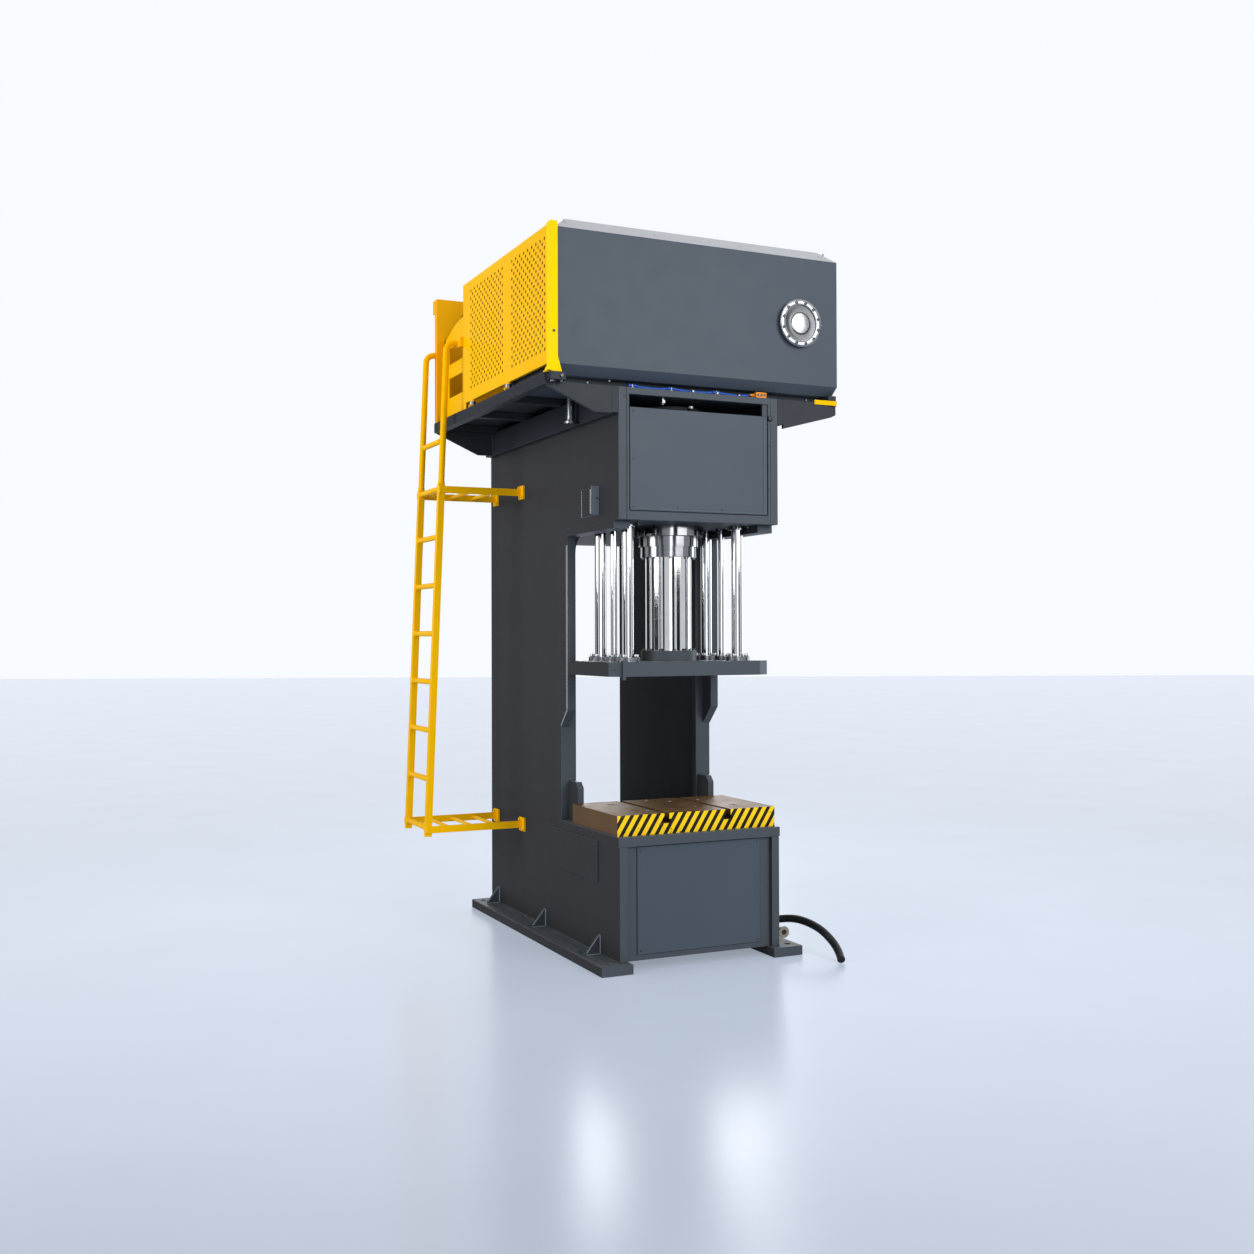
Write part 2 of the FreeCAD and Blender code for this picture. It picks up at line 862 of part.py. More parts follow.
def bed_top_plate():
    """The plate on the base, stepped in where it runs back between the side plates."""
    wide = outer_x + size.bed_plate_overhang
    tail = throat_y + size.bed_plate_tail
    outline = [
        (-wide, front_y), (wide, front_y), (wide, throat_y), (inner_x, throat_y),
        (inner_x, tail), (-inner_x, tail), (-inner_x, throat_y), (-wide, throat_y),
    ]
    return plate("bed_plate", "XY", outline, (size.throat_floor, bed_top))


def bed_cheek_plates():
    """Doubling plates on the outside of the side plates under the bed."""
    cheeks = [block("cheek", on_side(side, outer_x, outer_x + size.cheek_thickness),
                    (cheek_front_y, cheek_rear_y),
                    (size.cheek_bottom, size.throat_floor)) for side in (-1, 1)]
    return group("cheek_group", cheeks)


def base_front_frame():
    """The plate with a window that closes the base at the front."""
    low_y = front_y + size.base_frame_setback
    body = plate("base_frame", "XZ",
                 rectangle(-inner_x, inner_x, size.foot_thickness, size.throat_floor),
                 (low_y, low_y + size.base_frame_thickness))
    window_x = inner_x - size.base_window_margin
    window = rectangle(-window_x, window_x,
                       size.base_window_bottom, size.base_window_top)
    pocket(body, "base_window", "XZ", window, (low_y, low_y + size.base_frame_thickness))
    return body


def base_cover_panel():
    """The cover screwed over the base window."""
    high_y = front_y + size.base_frame_setback
    return block("base_cover", (-base_cover_x, base_cover_x),
                 (high_y - size.base_cover_thickness, high_y),
                 (size.base_cover_bottom, size.base_cover_top))


def throat_brackets():
    """Upright stop blocks at the foot of the throat flanges."""
    top = bed_top + size.bracket_height
    near = flange_y - size.bracket_depth
    outline = [
        (near, bed_top), (flange_y, bed_top), (flange_y, top),
        (near + size.bracket_bevel, top), (near, top - size.bracket_bevel),
    ]
    blocks = [plate("throat_bracket", "YZ", outline,
                    on_side(side, inner_x - size.bracket_thickness, inner_x))
              for side in (-1, 1)]
    return group("bracket_group", blocks)


# ---------------------------------------------------------------- bolster

def t_slot(centre, face):
    """Corners of a T-slot that opens at a plate's upper face."""
    neck = size.slot_neck / 2
    head = size.slot_head / 2
    shoulder = face - size.slot_neck_depth
    bottom = shoulder - size.slot_head_depth
    return [
        (centre - neck, face), (centre - neck, shoulder), (centre - head, shoulder),
        (centre - head, bottom), (centre + head, bottom), (centre + head, shoulder),
        (centre + neck, shoulder), (centre + neck, face),
    ]


def bolster_bolt_places():
    """Centres of the eight bolts that hold the bolster down."""
    return [(x * side, y) for y in (bolster_bolt_front_y, bolster_bolt_rear_y)
            for x in (size.bolster_bolt_inner_x, size.bolster_bolt_outer_x)
            for side in (-1, 1)]


def bolster_plate():
    """The work table with two T-slots that run from front to rear."""
    half = size.bolster_width / 2
    top = bed_top + size.bolster_thickness
    right_slot = t_slot(size.slot_offset, top)
    left_slot = t_slot(-size.slot_offset, top)
    outline = [(half, bed_top), (half, top)]
    outline += list(reversed(right_slot)) + list(reversed(left_slot))
    outline += [(-half, top), (-half, bed_top)]
    span = (bolster_front_y, bolster_front_y + size.bolster_depth)
    table = plate("bolster", "XZ", outline, span)
    counterbores = [
        rod("counterbore", "z", centre, (top - size.counterbore_depth, top + size.counterbore_gap),
            size.socket_head_radius + size.counterbore_gap)
        for centre in bolster_bolt_places()]
    return cut("bored_bolster", table, *counterbores)


def bolster_bolts():
    """Eight socket head bolts, sunk in the bolster's counterbores."""
    floor = bed_top + size.bolster_thickness - size.counterbore_depth
    top = floor + size.socket_head_height
    bolts = []
    for centre in bolster_bolt_places():
        head = rod("bolt_head", "z", centre, (floor, top), size.socket_head_radius)
        socket = hexagon("bolt_socket", "z", centre,
                         (top - size.socket_depth, top + size.counterbore_gap),
                         size.socket_width)
        bolts.append(cut("socket_bolt", head, socket))
    return group("bolster_bolt_group", bolts)


# ---------------------------------------------------------------- head

def rod_places():
    """Centre, rod radius and bush radius of the six rods."""
    places = []
    for side in (-1, 1):
        x = size.rod_x * side
        places.append((x, rod_front_y, size.guide_rod_radius, size.guide_bush_radius))
        places.append((x, rod_rear_y, size.guide_rod_radius, size.guide_bush_radius))
        places.append((x, ram_y, size.position_rod_radius, size.position_bush_radius))
    return places


def head_bottom_plate():
    """The head's floor with the cylinder bore and the bush holes."""
    outline = rectangle(-inner_x, inner_x, head_inside_y, rear_y - size.web_thickness)
    holes = [(ZERO, ram_y, size.cylinder_radius + size.running_gap)]
    for x, y, rod_radius, bush_radius in rod_places():
        holes.append((x, y, bush_radius + size.running_gap))
    return plate("head_floor", "XY", outline, (size.throat_top, head_plate_top), holes)


def head_front_frame():
    """The head's front plate with a rebate for its cover and a vent above it."""
    span = (front_y, head_inside_y)
    body = plate("head_frame", "XZ",
                 rectangle(-inner_x, inner_x, size.throat_top, size.frame_top), span)
    rebate_x = inner_x - size.rebate_margin
    vent_top = size.frame_top - size.rebate_header
    rebate = rectangle(-rebate_x, rebate_x, size.throat_top + size.rebate_sill, vent_top)
    pocket(body, "cover_rebate", "XZ", rebate, (front_y, front_y + size.rebate_depth))
    window_x = inner_x - size.head_window_margin
    window = rectangle(-window_x, window_x, size.head_window_bottom, size.head_window_top)
    pocket(body, "head_window", "XZ", window, span)
    vent = rectangle(size.vent_left_margin - inner_x, inner_x - size.vent_right_margin,
                     size.vent_bottom, vent_top)
    pocket(body, "head_vent", "XZ", vent, span)
    return body


def head_cover_panel():
    """The cover that lies in the head frame's rebate."""
    half = inner_x - size.rebate_margin - size.head_cover_gap
    high_y = front_y + size.rebate_depth
    low_z = size.throat_top + size.rebate_sill + size.head_cover_gap
    return block("head_cover", (-half, half), (high_y - size.head_cover_thickness, high_y),
                 (low_z, size.vent_bottom))


def head_top_plate():
    """The head's roof with the hole for the pressure pipe."""
    outline = rectangle(-inner_x, inner_x, head_inside_y, rear_y)
    hole = (size.pipe_x, block_y, size.pipe_radius + size.pipe_hole_gap)
    return plate("head_roof", "XY", outline, (head_top_underside, size.frame_top), [hole])


def side_beams():
    """Stiffening beams along the top of the side plates."""
    beams = [block("side_beam", on_side(side, outer_x, outer_x + size.side_beam_thickness),
                   (front_y, rear_y), (size.frame_top - size.side_beam_height, size.frame_top))
             for side in (-1, 1)]
    return group("side_beam_group", beams)


# ---------------------------------------------------------------- press cylinder

nut_bottom = size.throat_top - size.ring_nut_height
gland_bottom = nut_bottom - size.gland_height
wiper_bottom = gland_bottom - size.wiper_height


def main_cylinder():
    """The closed barrel that hangs by its flange on the head's floor."""
    flange_top = head_plate_top + size.cylinder_flange_thickness
    profile = [
        (ZERO, size.cylinder_cap_bottom), (size.cylinder_bore_radius, size.cylinder_cap_bottom),
        (size.cylinder_bore_radius, nut_bottom), (size.cylinder_radius, nut_bottom),
        (size.cylinder_radius, head_plate_top), (size.cylinder_flange_radius, head_plate_top),
        (size.cylinder_flange_radius, flange_top), (size.cylinder_radius, flange_top),
        (size.cylinder_radius, size.cylinder_top), (ZERO, size.cylinder_top),
    ]
    return turned("barrel", profile, ZERO, ram_y)


def cylinder_ring_nut():
    """The nut that draws the barrel's flange down on the head's floor."""
    profile = rectangle(size.cylinder_radius + size.running_gap, size.ring_nut_radius,
                        nut_bottom, size.throat_top)
    return turned("ring_nut", profile, ZERO, ram_y)


def gland_ring():
    """The gland that guides the ram, with its spigot in the barrel."""
    bore = size.ram_radius + size.running_gap
    spigot = size.cylinder_bore_radius - size.running_gap
    profile = [
        (bore, gland_bottom), (size.gland_radius, gland_bottom), (size.gland_radius, nut_bottom),
        (spigot, nut_bottom), (spigot, nut_bottom + size.gland_spigot),
        (bore, nut_bottom + size.gland_spigot),
    ]
    return turned("gland", profile, ZERO, ram_y)


def wiper_ring():
    """The ring below the gland that wipes the ram."""
    profile = rectangle(size.ram_radius + size.running_gap, size.wiper_radius,
                        wiper_bottom, gland_bottom)
    return turned("wiper", profile, ZERO, ram_y)


def guide_bushes():
    """Collared bushes in the head's floor, one for each rod."""
    bushes = []
    collar_bottom = size.throat_top - size.bush_collar_height
    for x, y, rod_radius, bush_radius in rod_places():
        bore = rod_radius + size.running_gap
        collar = bush_radius + size.bush_collar
        profile = [
            (bore, collar_bottom), (collar, collar_bottom), (collar, size.throat_top),
            (bush_radius, size.throat_top), (bush_radius, head_plate_top + size.bush_rise),
            (bore, head_plate_top + size.bush_rise),
        ]
        bushes.append(turned("guide_bush", profile, x, y))
    return group("bush_group", bushes)


# ---------------------------------------------------------------- slide

def ram():
    """The chromed ram and its piston."""
    piston = size.cylinder_bore_radius - size.running_gap
    profile = [
        (ZERO, platen_top), (size.ram_radius, platen_top),
        (size.ram_radius, size.piston_bottom), (piston, size.piston_bottom),
        (piston, size.ram_top), (ZERO, size.ram_top),
    ]
    return turned("ram_turned", profile, ZERO, ram_y)


def ram_flange():
    """The ring that bolts the ram's foot to the platen."""
    profile = rectangle(size.ram_radius + size.running_gap, size.ram_flange_radius,
                        platen_top, platen_top + size.ram_flange_height)
    return turned("ram_ring", profile, ZERO, ram_y)


def platen():
    """The slide plate with cut-off front corners, tapped holes below and the travel pointer."""
    half = platen_half
    bottom = size.platen_bottom
    body = plate("slide_plate", "XZ", rectangle(-half, half, bottom, platen_top),
                 (platen_front_y, platen_rear_y))
    for side in (-1, 1):
        corner = [
            (half * side, platen_front_y),
            (half * side, platen_front_y + size.platen_chamfer_y),
            ((half - size.platen_chamfer_x) * side, platen_front_y),
        ]
        pocket(body, "corner_cut", "XY", corner, (bottom, platen_top))
    pointer_x = size.pointer_inset - half
    pointer_half = size.pointer_width / 2
    pointer = block("pointer", (pointer_x - pointer_half, pointer_x + pointer_half),
                    (platen_front_y - size.pointer_thickness,
                     platen_front_y + size.pointer_thickness),
                    (bottom - size.pointer_drop, platen_top + size.pointer_rise))
    holes = [rod("tapped_hole", "z", (x * side, y), (bottom, bottom + size.tapped_hole_depth),
                 size.tapped_hole_radius)
             for y in (rod_front_y, rod_rear_y)
             for x in (size.tapped_hole_inner_x, size.tapped_hole_outer_x) for side in (-1, 1)]
    return cut("platen_cut", fuse("platen_weldment", body, pointer), *holes)


def guide_rods():
    """Four chromed guide rods and two slimmer position rods between them."""
    return group("rod_group", [
        rod("guide_rod", "z", (x, y), (platen_top, size.ram_top), rod_radius)
        for x, y, rod_radius, bush_radius in rod_places()])


def rod_flanges():
    """Flanges that clamp the rods' feet to the platen."""
    flanges = []
    for x, y, rod_radius, bush_radius in rod_places():
        wide = rod_radius.value > SIZES["position_rod_radius"]
        outer = size.rod_flange_radius if wide else size.small_rod_flange_radius
        profile = rectangle(rod_radius + size.running_gap, outer,
                            platen_top, platen_top + size.rod_flange_height)
        flanges.append(turned("rod_flange", profile, x, y))
    return group("rod_flange_group", flanges)


def slide_bolts():
    """Hexagon bolts on the rod flanges."""
    bolts = []
    face = platen_top + size.rod_flange_height
    for x, y, rod_radius, bush_radius in rod_places():
        wide = rod_radius.value > SIZES["position_rod_radius"]
        circle = size.rod_bolt_circle if wide else size.small_rod_bolt_circle
        width = size.rod_bolt_width if wide else size.small_bolt_width
        height = size.rod_bolt_height if wide else size.small_bolt_height
        for turn in (45, 135, 225, 315):
            bolt_x = x + circle * math.cos(math.radians(turn))
            bolt_y = y + circle * math.sin(math.radians(turn))
            bolts.append(hexagon("rod_bolt", "z", (bolt_x, bolt_y), (face, face + height), width))
    return group("slide_bolt_group", bolts)


def guide_shoes():
    """Angled shoes at the platen's rear corners that run on the rails."""
    shoes = []
    near = rail_y - size.running_gap
    for side in (-1, 1):
        arm_x = inner_x - size.running_gap
        outline = [
            (shoe_inner_x * side, platen_rear_y), (platen_half * side, platen_rear_y),
            (platen_half * side, near), (arm_x * side, near),
            (arm_x * side, near + size.shoe_arm_depth),
            (shoe_inner_x * side, near + size.shoe_arm_depth),
        ]
        shoes.append(plate("guide_shoe", "XY", outline,
                           (size.platen_bottom - size.shoe_overlap, platen_top + size.shoe_overlap)))
    return group("shoe_group", shoes)


# ---------------------------------------------------------------- deck

def deck_frame():
    """The welded roof frame: two edge beams, four cross beams and the front lug."""
    pieces = [block("edge_beam", on_side(side, outer - size.deck_beam_width, outer),
                    (front_y, deck_rear_y), (beam_bottom, size.deck_top))
              for side, outer in ((-1, size.deck_left), (1, size.deck_right))]
    half = size.deck_beam_width / 2
    for centre in (first_cross_beam_y, second_cross_beam_y,
                   third_cross_beam_y, fourth_cross_beam_y):
        pieces.append(block("cross_beam", (size.deck_beam_width - size.deck_left,
                                           size.deck_right - size.deck_beam_width),
                            (centre - half, centre + half),
                            (size.deck_top - size.cross_beam_height, size.deck_top)))
    pieces.append(block("front_lug", (-size.lug_outer_x, -size.lug_inner_x),
                        (front_y - size.lug_depth, front_y),
                        (size.deck_top - size.cross_beam_height, size.deck_top)))
    return fuse("deck_weldment", *pieces)


def deck_brackets():
    """Tapered haunches that carry the deck's edge beams."""
    root_x = outer_x + size.side_beam_thickness
    top = size.frame_top
    left_inner = size.deck_left - size.deck_beam_width
    left = [
        (-root_x, top), (-left_inner, top), (-left_inner, beam_bottom),
        (size.haunch_tip - size.deck_left, beam_bottom),
        (-root_x - size.haunch_root, top - size.haunch_drop), (-root_x, top - size.haunch_drop),
    ]
    right_inner = size.deck_right - size.deck_beam_width
    tip_x = size.deck_right - size.right_haunch_tip
    right = [
        (root_x, top), (right_inner, top), (right_inner, beam_bottom), (tip_x, beam_bottom),
        (tip_x, top - size.right_haunch_nose),
        (tip_x - size.right_haunch_bevel_x, top - size.right_haunch_nose - size.right_haunch_bevel_z),
        (root_x, top - size.right_haunch_drop),
    ]
    haunches = [plate("haunch", "XZ", outline, (low_y, low_y + size.haunch_thickness))
                for low_y in (front_y, deck_rear_y - size.haunch_thickness)
                for outline in (left, right)]
    return group("haunch_group", haunches)


def deck_plate():
    """The walkway plate behind the tank, with the hole for the pressure pipe."""
    inset = size.deck_beam_width + size.deck_plate_side_gap
    outline = rectangle(inset - size.deck_left, size.deck_right - inset,
                        tank_rear_y + size.deck_plate_gap, rear_post_y)
    hole = (size.pipe_x, block_y, size.pipe_radius + size.pipe_hole_gap)
    return plate("walkway", "XY", outline, (size.deck_top, deck_plate_top), [hole])


# ---------------------------------------------------------------- oil tank

def tank_outline(wall, top):
    """The tank's section seen from the side, drawn in by a wall."""
    front = tank_front_y + wall
    rear = tank_rear_y - wall
    bottom = size.deck_top + wall
    return [
        (tank_front_y + size.tank_chamfer_y, bottom), (rear, bottom), (rear, top),
        (front, top), (front, size.deck_top + size.tank_chamfer_z),
    ]


def oil_tank():
    """The open tank with its chamfered front edge and the manhole's mouth."""
    shell = plate("tank_shell", "YZ", tank_outline(ZERO, tank_top),
                  (-size.tank_left, size.tank_right))
    hollow = plate("tank_hollow", "YZ", tank_outline(size.tank_wall, tank_top + size.tank_wall),
                   (size.tank_wall - size.tank_left, size.tank_right - size.tank_wall))
    mouth = rod("tank_mouth", "y", (size.manhole_x, size.manhole_z),
                (tank_front_y - size.tank_wall, tank_front_y + size.tank_wall * 2),
                size.manhole_mouth)
    return cut("tank_cut", shell, hollow, mouth)


def hip(name, wall, base, top):
    """A hipped solid over the tank, drawn in by a wall."""
    solid = doc.addObject("Part::Wedge", name)
    solid.Placement = FreeCAD.Placement(
        FreeCAD.Vector(), FreeCAD.Rotation(FreeCAD.Vector(1, 0, 0), 90))
    left = wall - size.tank_left
    right = size.tank_right - wall
    near = -tank_front_y - wall
    far = -tank_rear_y + wall
    for setting, length in (
            ("Xmin", left), ("Xmax", right), ("Ymin", base), ("Ymax", top),
            ("Zmin", far), ("Zmax", near),
            ("X2min", left + size.lid_inset), ("X2max", right - size.lid_inset),
            ("Z2min", far + size.lid_inset), ("Z2max", near - size.lid_inset)):
        bind(solid, setting, length)
    return solid


def tank_lid():
    """The hollow hipped lid."""
    outside = hip("lid_outside", ZERO, tank_top, tank_top + size.lid_height)
    inside = hip("lid_inside", size.lid_wall, tank_top - 1,
                 tank_top + size.lid_height - size.lid_wall)
    return cut("lid_shell", outside, inside)


def manhole_flange():
    """The welded ring round the manhole's mouth."""
    profile = rectangle(size.manhole_mouth, size.manhole_radius, ZERO,
                        size.manhole_flange_thickness)
    return turned("manhole_ring", profile, size.manhole_x,
                  tank_front_y - size.manhole_flange_thickness, size.manhole_z, "y")


def manhole_cover():
    """The bolted cover with a dished centre."""
    thick = size.manhole_cover_thickness
    profile = [
        (ZERO, size.manhole_dish_depth), (size.manhole_dish_floor, size.manhole_dish_depth),
        (size.manhole_dish_radius, ZERO), (size.manhole_radius, ZERO),
        (size.manhole_radius, thick), (ZERO, thick),
    ]
    face = tank_front_y - size.manhole_flange_thickness - thick
    return turned("manhole_lid", profile, size.manhole_x, face, size.manhole_z, "y")


def manhole_bolts():
    """Twelve hexagon bolts round the manhole cover."""
    face = tank_front_y - size.manhole_flange_thickness - size.manhole_cover_thickness
    bolts = []
    step = 360 / SIZES["manhole_bolt_count"]
    for number in range(SIZES["manhole_bolt_count"]):
        turn = math.radians(step * (number + 0.5))
        x = size.manhole_x + size.manhole_bolt_circle * math.cos(turn)
        z = size.manhole_z + size.manhole_bolt_circle * math.sin(turn)
        bolts.append(hexagon("manhole_bolt", "y", (x, z),
                             (face - size.manhole_bolt_height, face), size.manhole_bolt_width))
    return group("manhole_bolt_group", bolts)


# ---------------------------------------------------------------- guards

def hexagon_wire(x, centre_y, centre_z, radius):
    """One perforation's edge in the plane of the guard sheet."""
    corners = []
    for number in range(7):
        turn = math.radians(60 * number)
        corners.append(FreeCAD.Vector(x, centre_y + radius * math.cos(turn),
                                      centre_z + radius * math.sin(turn)))
    return Part.makePolygon(corners)


def perforations(x, field_y):
    """Staggered holes of one field: a grid, and a smaller grid half a pitch further on."""
    pitch_y = SIZES["guard_hole_pitch_y"]
    pitch_z = SIZES["guard_hole_pitch_z"]
    wires = []
    for shift in (0, 1):
        for column in range(SIZES["guard_hole_columns"] - shift):
            for row_number in range(SIZES["guard_hole_rows"] - shift):
                wires.append(hexagon_wire(
                    x, field_y + pitch_y * (column + shift / 2),
                    SIZES["guard_field_bottom"] + pitch_z * (row_number + shift / 2),
                    SIZES["guard_hole_radius"]))
    return wires


def left_guard():
    """The left guard: a perforated sheet and the rear post that it is welded to."""
    x = -SIZES["guard_face_x"]
    corners = [
        (guard_front_y.value, SIZES["guard_bottom"]), (guard_post_y.value, SIZES["guard_bottom"]),
        (guard_post_y.value, SIZES["guard_top"]), (guard_front_y.value, SIZES["guard_top"]),
    ]
    edge = Part.makePolygon([FreeCAD.Vector(x, y, z) for y, z in corners + corners[:1]])
    holes = perforations(x, guard_front_field_y.value) + perforations(x, guard_rear_field_y.value)
    panel = doc.addObject("Part::Feature", "guard_sheet")
    holed_face = Part.makeFace([edge] + holes, "Part::FaceMakerBullseye")
    panel.Shape = holed_face.extrude(FreeCAD.Vector(SIZES["guard_sheet"], 0, 0))
    centre = -size.guard_face_x + size.guard_sheet / 2
    half = size.guard_post_size / 2
    post = block("guard_rear_post", (centre - half, centre + half),
                 (guard_post_y, guard_post_y + size.guard_post_size),
                 (size.deck_top, size.guard_post_top))
    return group("left_guard_group", [panel, post])


def guard_corner_post():
    """The angle post at the guard's front corner, flared at its foot."""
    leg = size.corner_post_leg
    near = guard_front_y - leg
    left = -size.guard_face_x - leg
    outline = [
        (left, near), (left + size.corner_post_width, near),
        (left + size.corner_post_width, guard_front_y), (left + leg, guard_front_y),
        (left + leg, near + size.corner_post_depth), (left, near + size.corner_post_depth),
    ]
    angle = plate("corner_angle", "XY", outline, (size.deck_top, size.guard_top + leg))
    flare = plate("corner_flare", "XZ", [
        (left + size.corner_post_width, size.deck_top),
        (left + size.corner_post_width + size.corner_post_flare, size.deck_top),
        (left + size.corner_post_width, size.deck_top + size.corner_post_foot * 2),
    ], (near, guard_front_y))
    return fuse("corner_post", angle, flare)


def guard_sockets():
    """Pins and plates on the edge beam that the left guard stands on."""
    sockets = []
    centre_x = -size.guard_face_x - size.guard_sheet
    half = size.socket_plate_half
    plate_top = size.deck_top + size.socket_plate_thickness
    for y in (socket_y, rear_socket_y):
        foot = block("socket_plate", (centre_x - half, centre_x + half), (y - half, y + half),
                     (size.deck_top, plate_top))
        pin = rod("socket_pin", "z", (centre_x, y), (plate_top, size.guard_bottom),
                  size.socket_pin_radius)
        sockets.append(fuse("guard_socket", foot, pin))
    return group("socket_group", sockets)


def rear_guard():
    """The rear guard: a post, a deep top rail, its corner gusset and a sheet below."""
    post_left = size.rear_post_inset - size.deck_left
    right = size.tank_right
    rail_bottom = size.guard_post_top - size.rear_rail_height
    post_right = post_left + size.rear_post_width
    rear = deck_rear_y
    post = block("rear_post", (post_left, post_right), (rear_post_y, rear),
                 (size.deck_top, rail_bottom))
    rail = block("rear_rail", (post_left, right),
                 (rear_post_y, rear_post_y + size.rear_rail_depth),
                 (rail_bottom, size.guard_post_top))
    sheet_low = rear - size.guard_sheet
    panel = block("rear_sheet", (post_right, right), (sheet_low, rear),
                  (size.deck_top, rail_bottom))
    gusset = plate("rear_gusset", "XZ", [
        (post_right, rail_bottom), (post_right, rail_bottom - size.rear_gusset_drop),
        (post_right + size.rear_gusset_reach, rail_bottom),
    ], (rear_post_y, rear_post_y + size.corner_post_leg))
    return fuse("rear_guard_weldment", post, rail, panel, gusset)


def right_guard():
    """The plain right guard and the toe strip below its front end."""
    face = size.tank_right
    sheet_piece = block("right_sheet", (face - size.guard_sheet, face),
                        (tank_rear_y + size.deck_plate_gap, rear_post_y),
                        (size.deck_top, size.guard_top))
    strip = block("toe_strip", (size.toe_strip_inner_x, size.deck_right),
                  (front_y - size.tank_wall, front_y),
                  (size.toe_strip_top - size.toe_strip_height, size.toe_strip_top))
    return group("right_guard_group", [sheet_piece, strip])


gate_x = -size.guard_face_x + size.guard_sheet / 2 + size.guard_post_size / 2 + size.gate_stop_gap
hinge_x = gate_x + size.gate_sheet / 2
hinge_y = rear_post_y - size.hinge_radius - size.gate_stop_gap


def ladder_gate():
    """The gate of the ladder opening: a sheet with two windows and two hinge sleeves."""
    far = hinge_y - size.hinge_radius - size.gate_stop_gap
    outline = [
        (gate_front_y, size.gate_bottom), (far, size.gate_bottom),
        (far, size.gate_low_top), (gate_front_y, size.gate_high_top),
    ]
    span = (gate_x, gate_x + size.gate_sheet)
    body = plate("gate_sheet", "YZ", outline, span)
    window_front = guard_post_y + size.guard_post_size - size.gate_window_front
    for bottom in (size.gate_window_lower, size.gate_window_upper):
        window = rectangle(window_front, window_front + size.gate_window_length,
                           bottom, bottom + size.gate_window_height)
        pocket(body, "gate_window", "YZ", window, span)
    sleeves = []
    bore_radius = size.hinge_pin_radius + size.running_gap
    for bottom in (size.hinge_lower, size.hinge_upper):
        sleeve_span = (bottom, bottom + size.hinge_length)
        sleeves.append(rod("hinge_sleeve", "z", (hinge_x, hinge_y), sleeve_span,
                           size.hinge_radius))
        sleeves.append(block("hinge_leaf", span, (far, hinge_y), sleeve_span))
    leaf = fuse("gate_leaf", body, *sleeves)
    bore = rod("hinge_bore", "z", (hinge_x, hinge_y), (size.gate_bottom, size.guard_top),
               bore_radius)
    return cut("gate_bored", leaf, bore)


def gate_hinge_pins():
    """Hinge pins held by lugs on the rear post."""
    pins = []
    lug = size.hinge_length / 4
    for bottom in (size.hinge_lower, size.hinge_upper):
        low = bottom - size.running_gap
        pin = rod("gate_pin", "z", (hinge_x, hinge_y), (low - lug, bottom + size.hinge_length),
                  size.hinge_pin_radius)
        eye = rod("pin_eye", "z", (hinge_x, hinge_y), (low - lug, low), size.hinge_radius)
        arm = block("pin_lug", (hinge_x - size.hinge_radius * 2, hinge_x + size.hinge_radius),
                    (hinge_y, rear_post_y), (low - lug, low))
        pins.append(fuse("hinge_pin", arm, eye, pin))
    return group("hinge_pin_group", pins)


# ---------------------------------------------------------------- ladder

def stringer(y):
    """One square stringer, leaning towards the press."""
    half = size.stringer_size / 2
    bar = doc.addObject("Part::Box", "stringer")
    bind(bar, "Length", size.stringer_size)
    bind(bar, "Width", size.stringer_size)
    bind(bar, "Height", size.stringer_length)
    bar.Placement = FreeCAD.Placement(
        FreeCAD.Vector(), FreeCAD.Rotation(FreeCAD.Vector(0, 1, 0), SIZES["ladder_lean"]))
    place(bar, size.ladder_foot_x - half, y - half, size.ladder_foot_z)
    return bar


def handrail(y, end_x):
    """The round upper part of a stringer, bent over to the guard."""
    foot_z = size.ladder_foot_z + size.stringer_length * math.cos(math.radians(SIZES["ladder_lean"]))
    points = [(ladder_x(foot_z), y, foot_z), (ladder_x(size.handrail_top), y, size.handrail_top),
              (end_x, y, size.handrail_top)]
    return bent_tube("handrail", points, [size.handrail_bend], size.stringer_size / 2)


def ladder_rails():
    """The two stringers, each with its handrail and collar."""
    post_face = -size.guard_face_x + size.guard_sheet / 2 - size.guard_post_size / 2
    rear_face = size.rear_post_inset - size.deck_left
    rails = []
    for y, end_x in ((ladder_front_y, post_face), (ladder_rear_y, rear_face)):
        foot_z = size.ladder_foot_z + size.stringer_length
        collar = rod("rail_collar", "z", (ladder_x(foot_z), y),
                     (foot_z - size.collar_height / 2, foot_z + size.collar_height / 2),
                     size.collar_radius)
        rails.append(fuse("ladder_rail", stringer(y), handrail(y, end_x), collar))
    return group("ladder_rail_group", rails)


def ladder_rungs():
    """Nine round rungs between the stringers."""
    half = size.stringer_size / 2
    rungs = []
    for number in range(SIZES["rung_count"]):
        z = size.rung_first_z + size.rung_pitch * number
        rungs.append(rod("rung", "y", (ladder_x(z), z),
                         (ladder_front_y + half, ladder_rear_y - half),
                         size.rung_radius))
    return group("rung_group", rungs)


def arm_ys():
    """The inner faces and outer faces of the two bracket arms."""
    half = size.stringer_size / 2
    front = ladder_front_y - half
    rear = ladder_rear_y + half
    return ((front - size.arm_thickness, front), (rear, rear + size.arm_thickness))


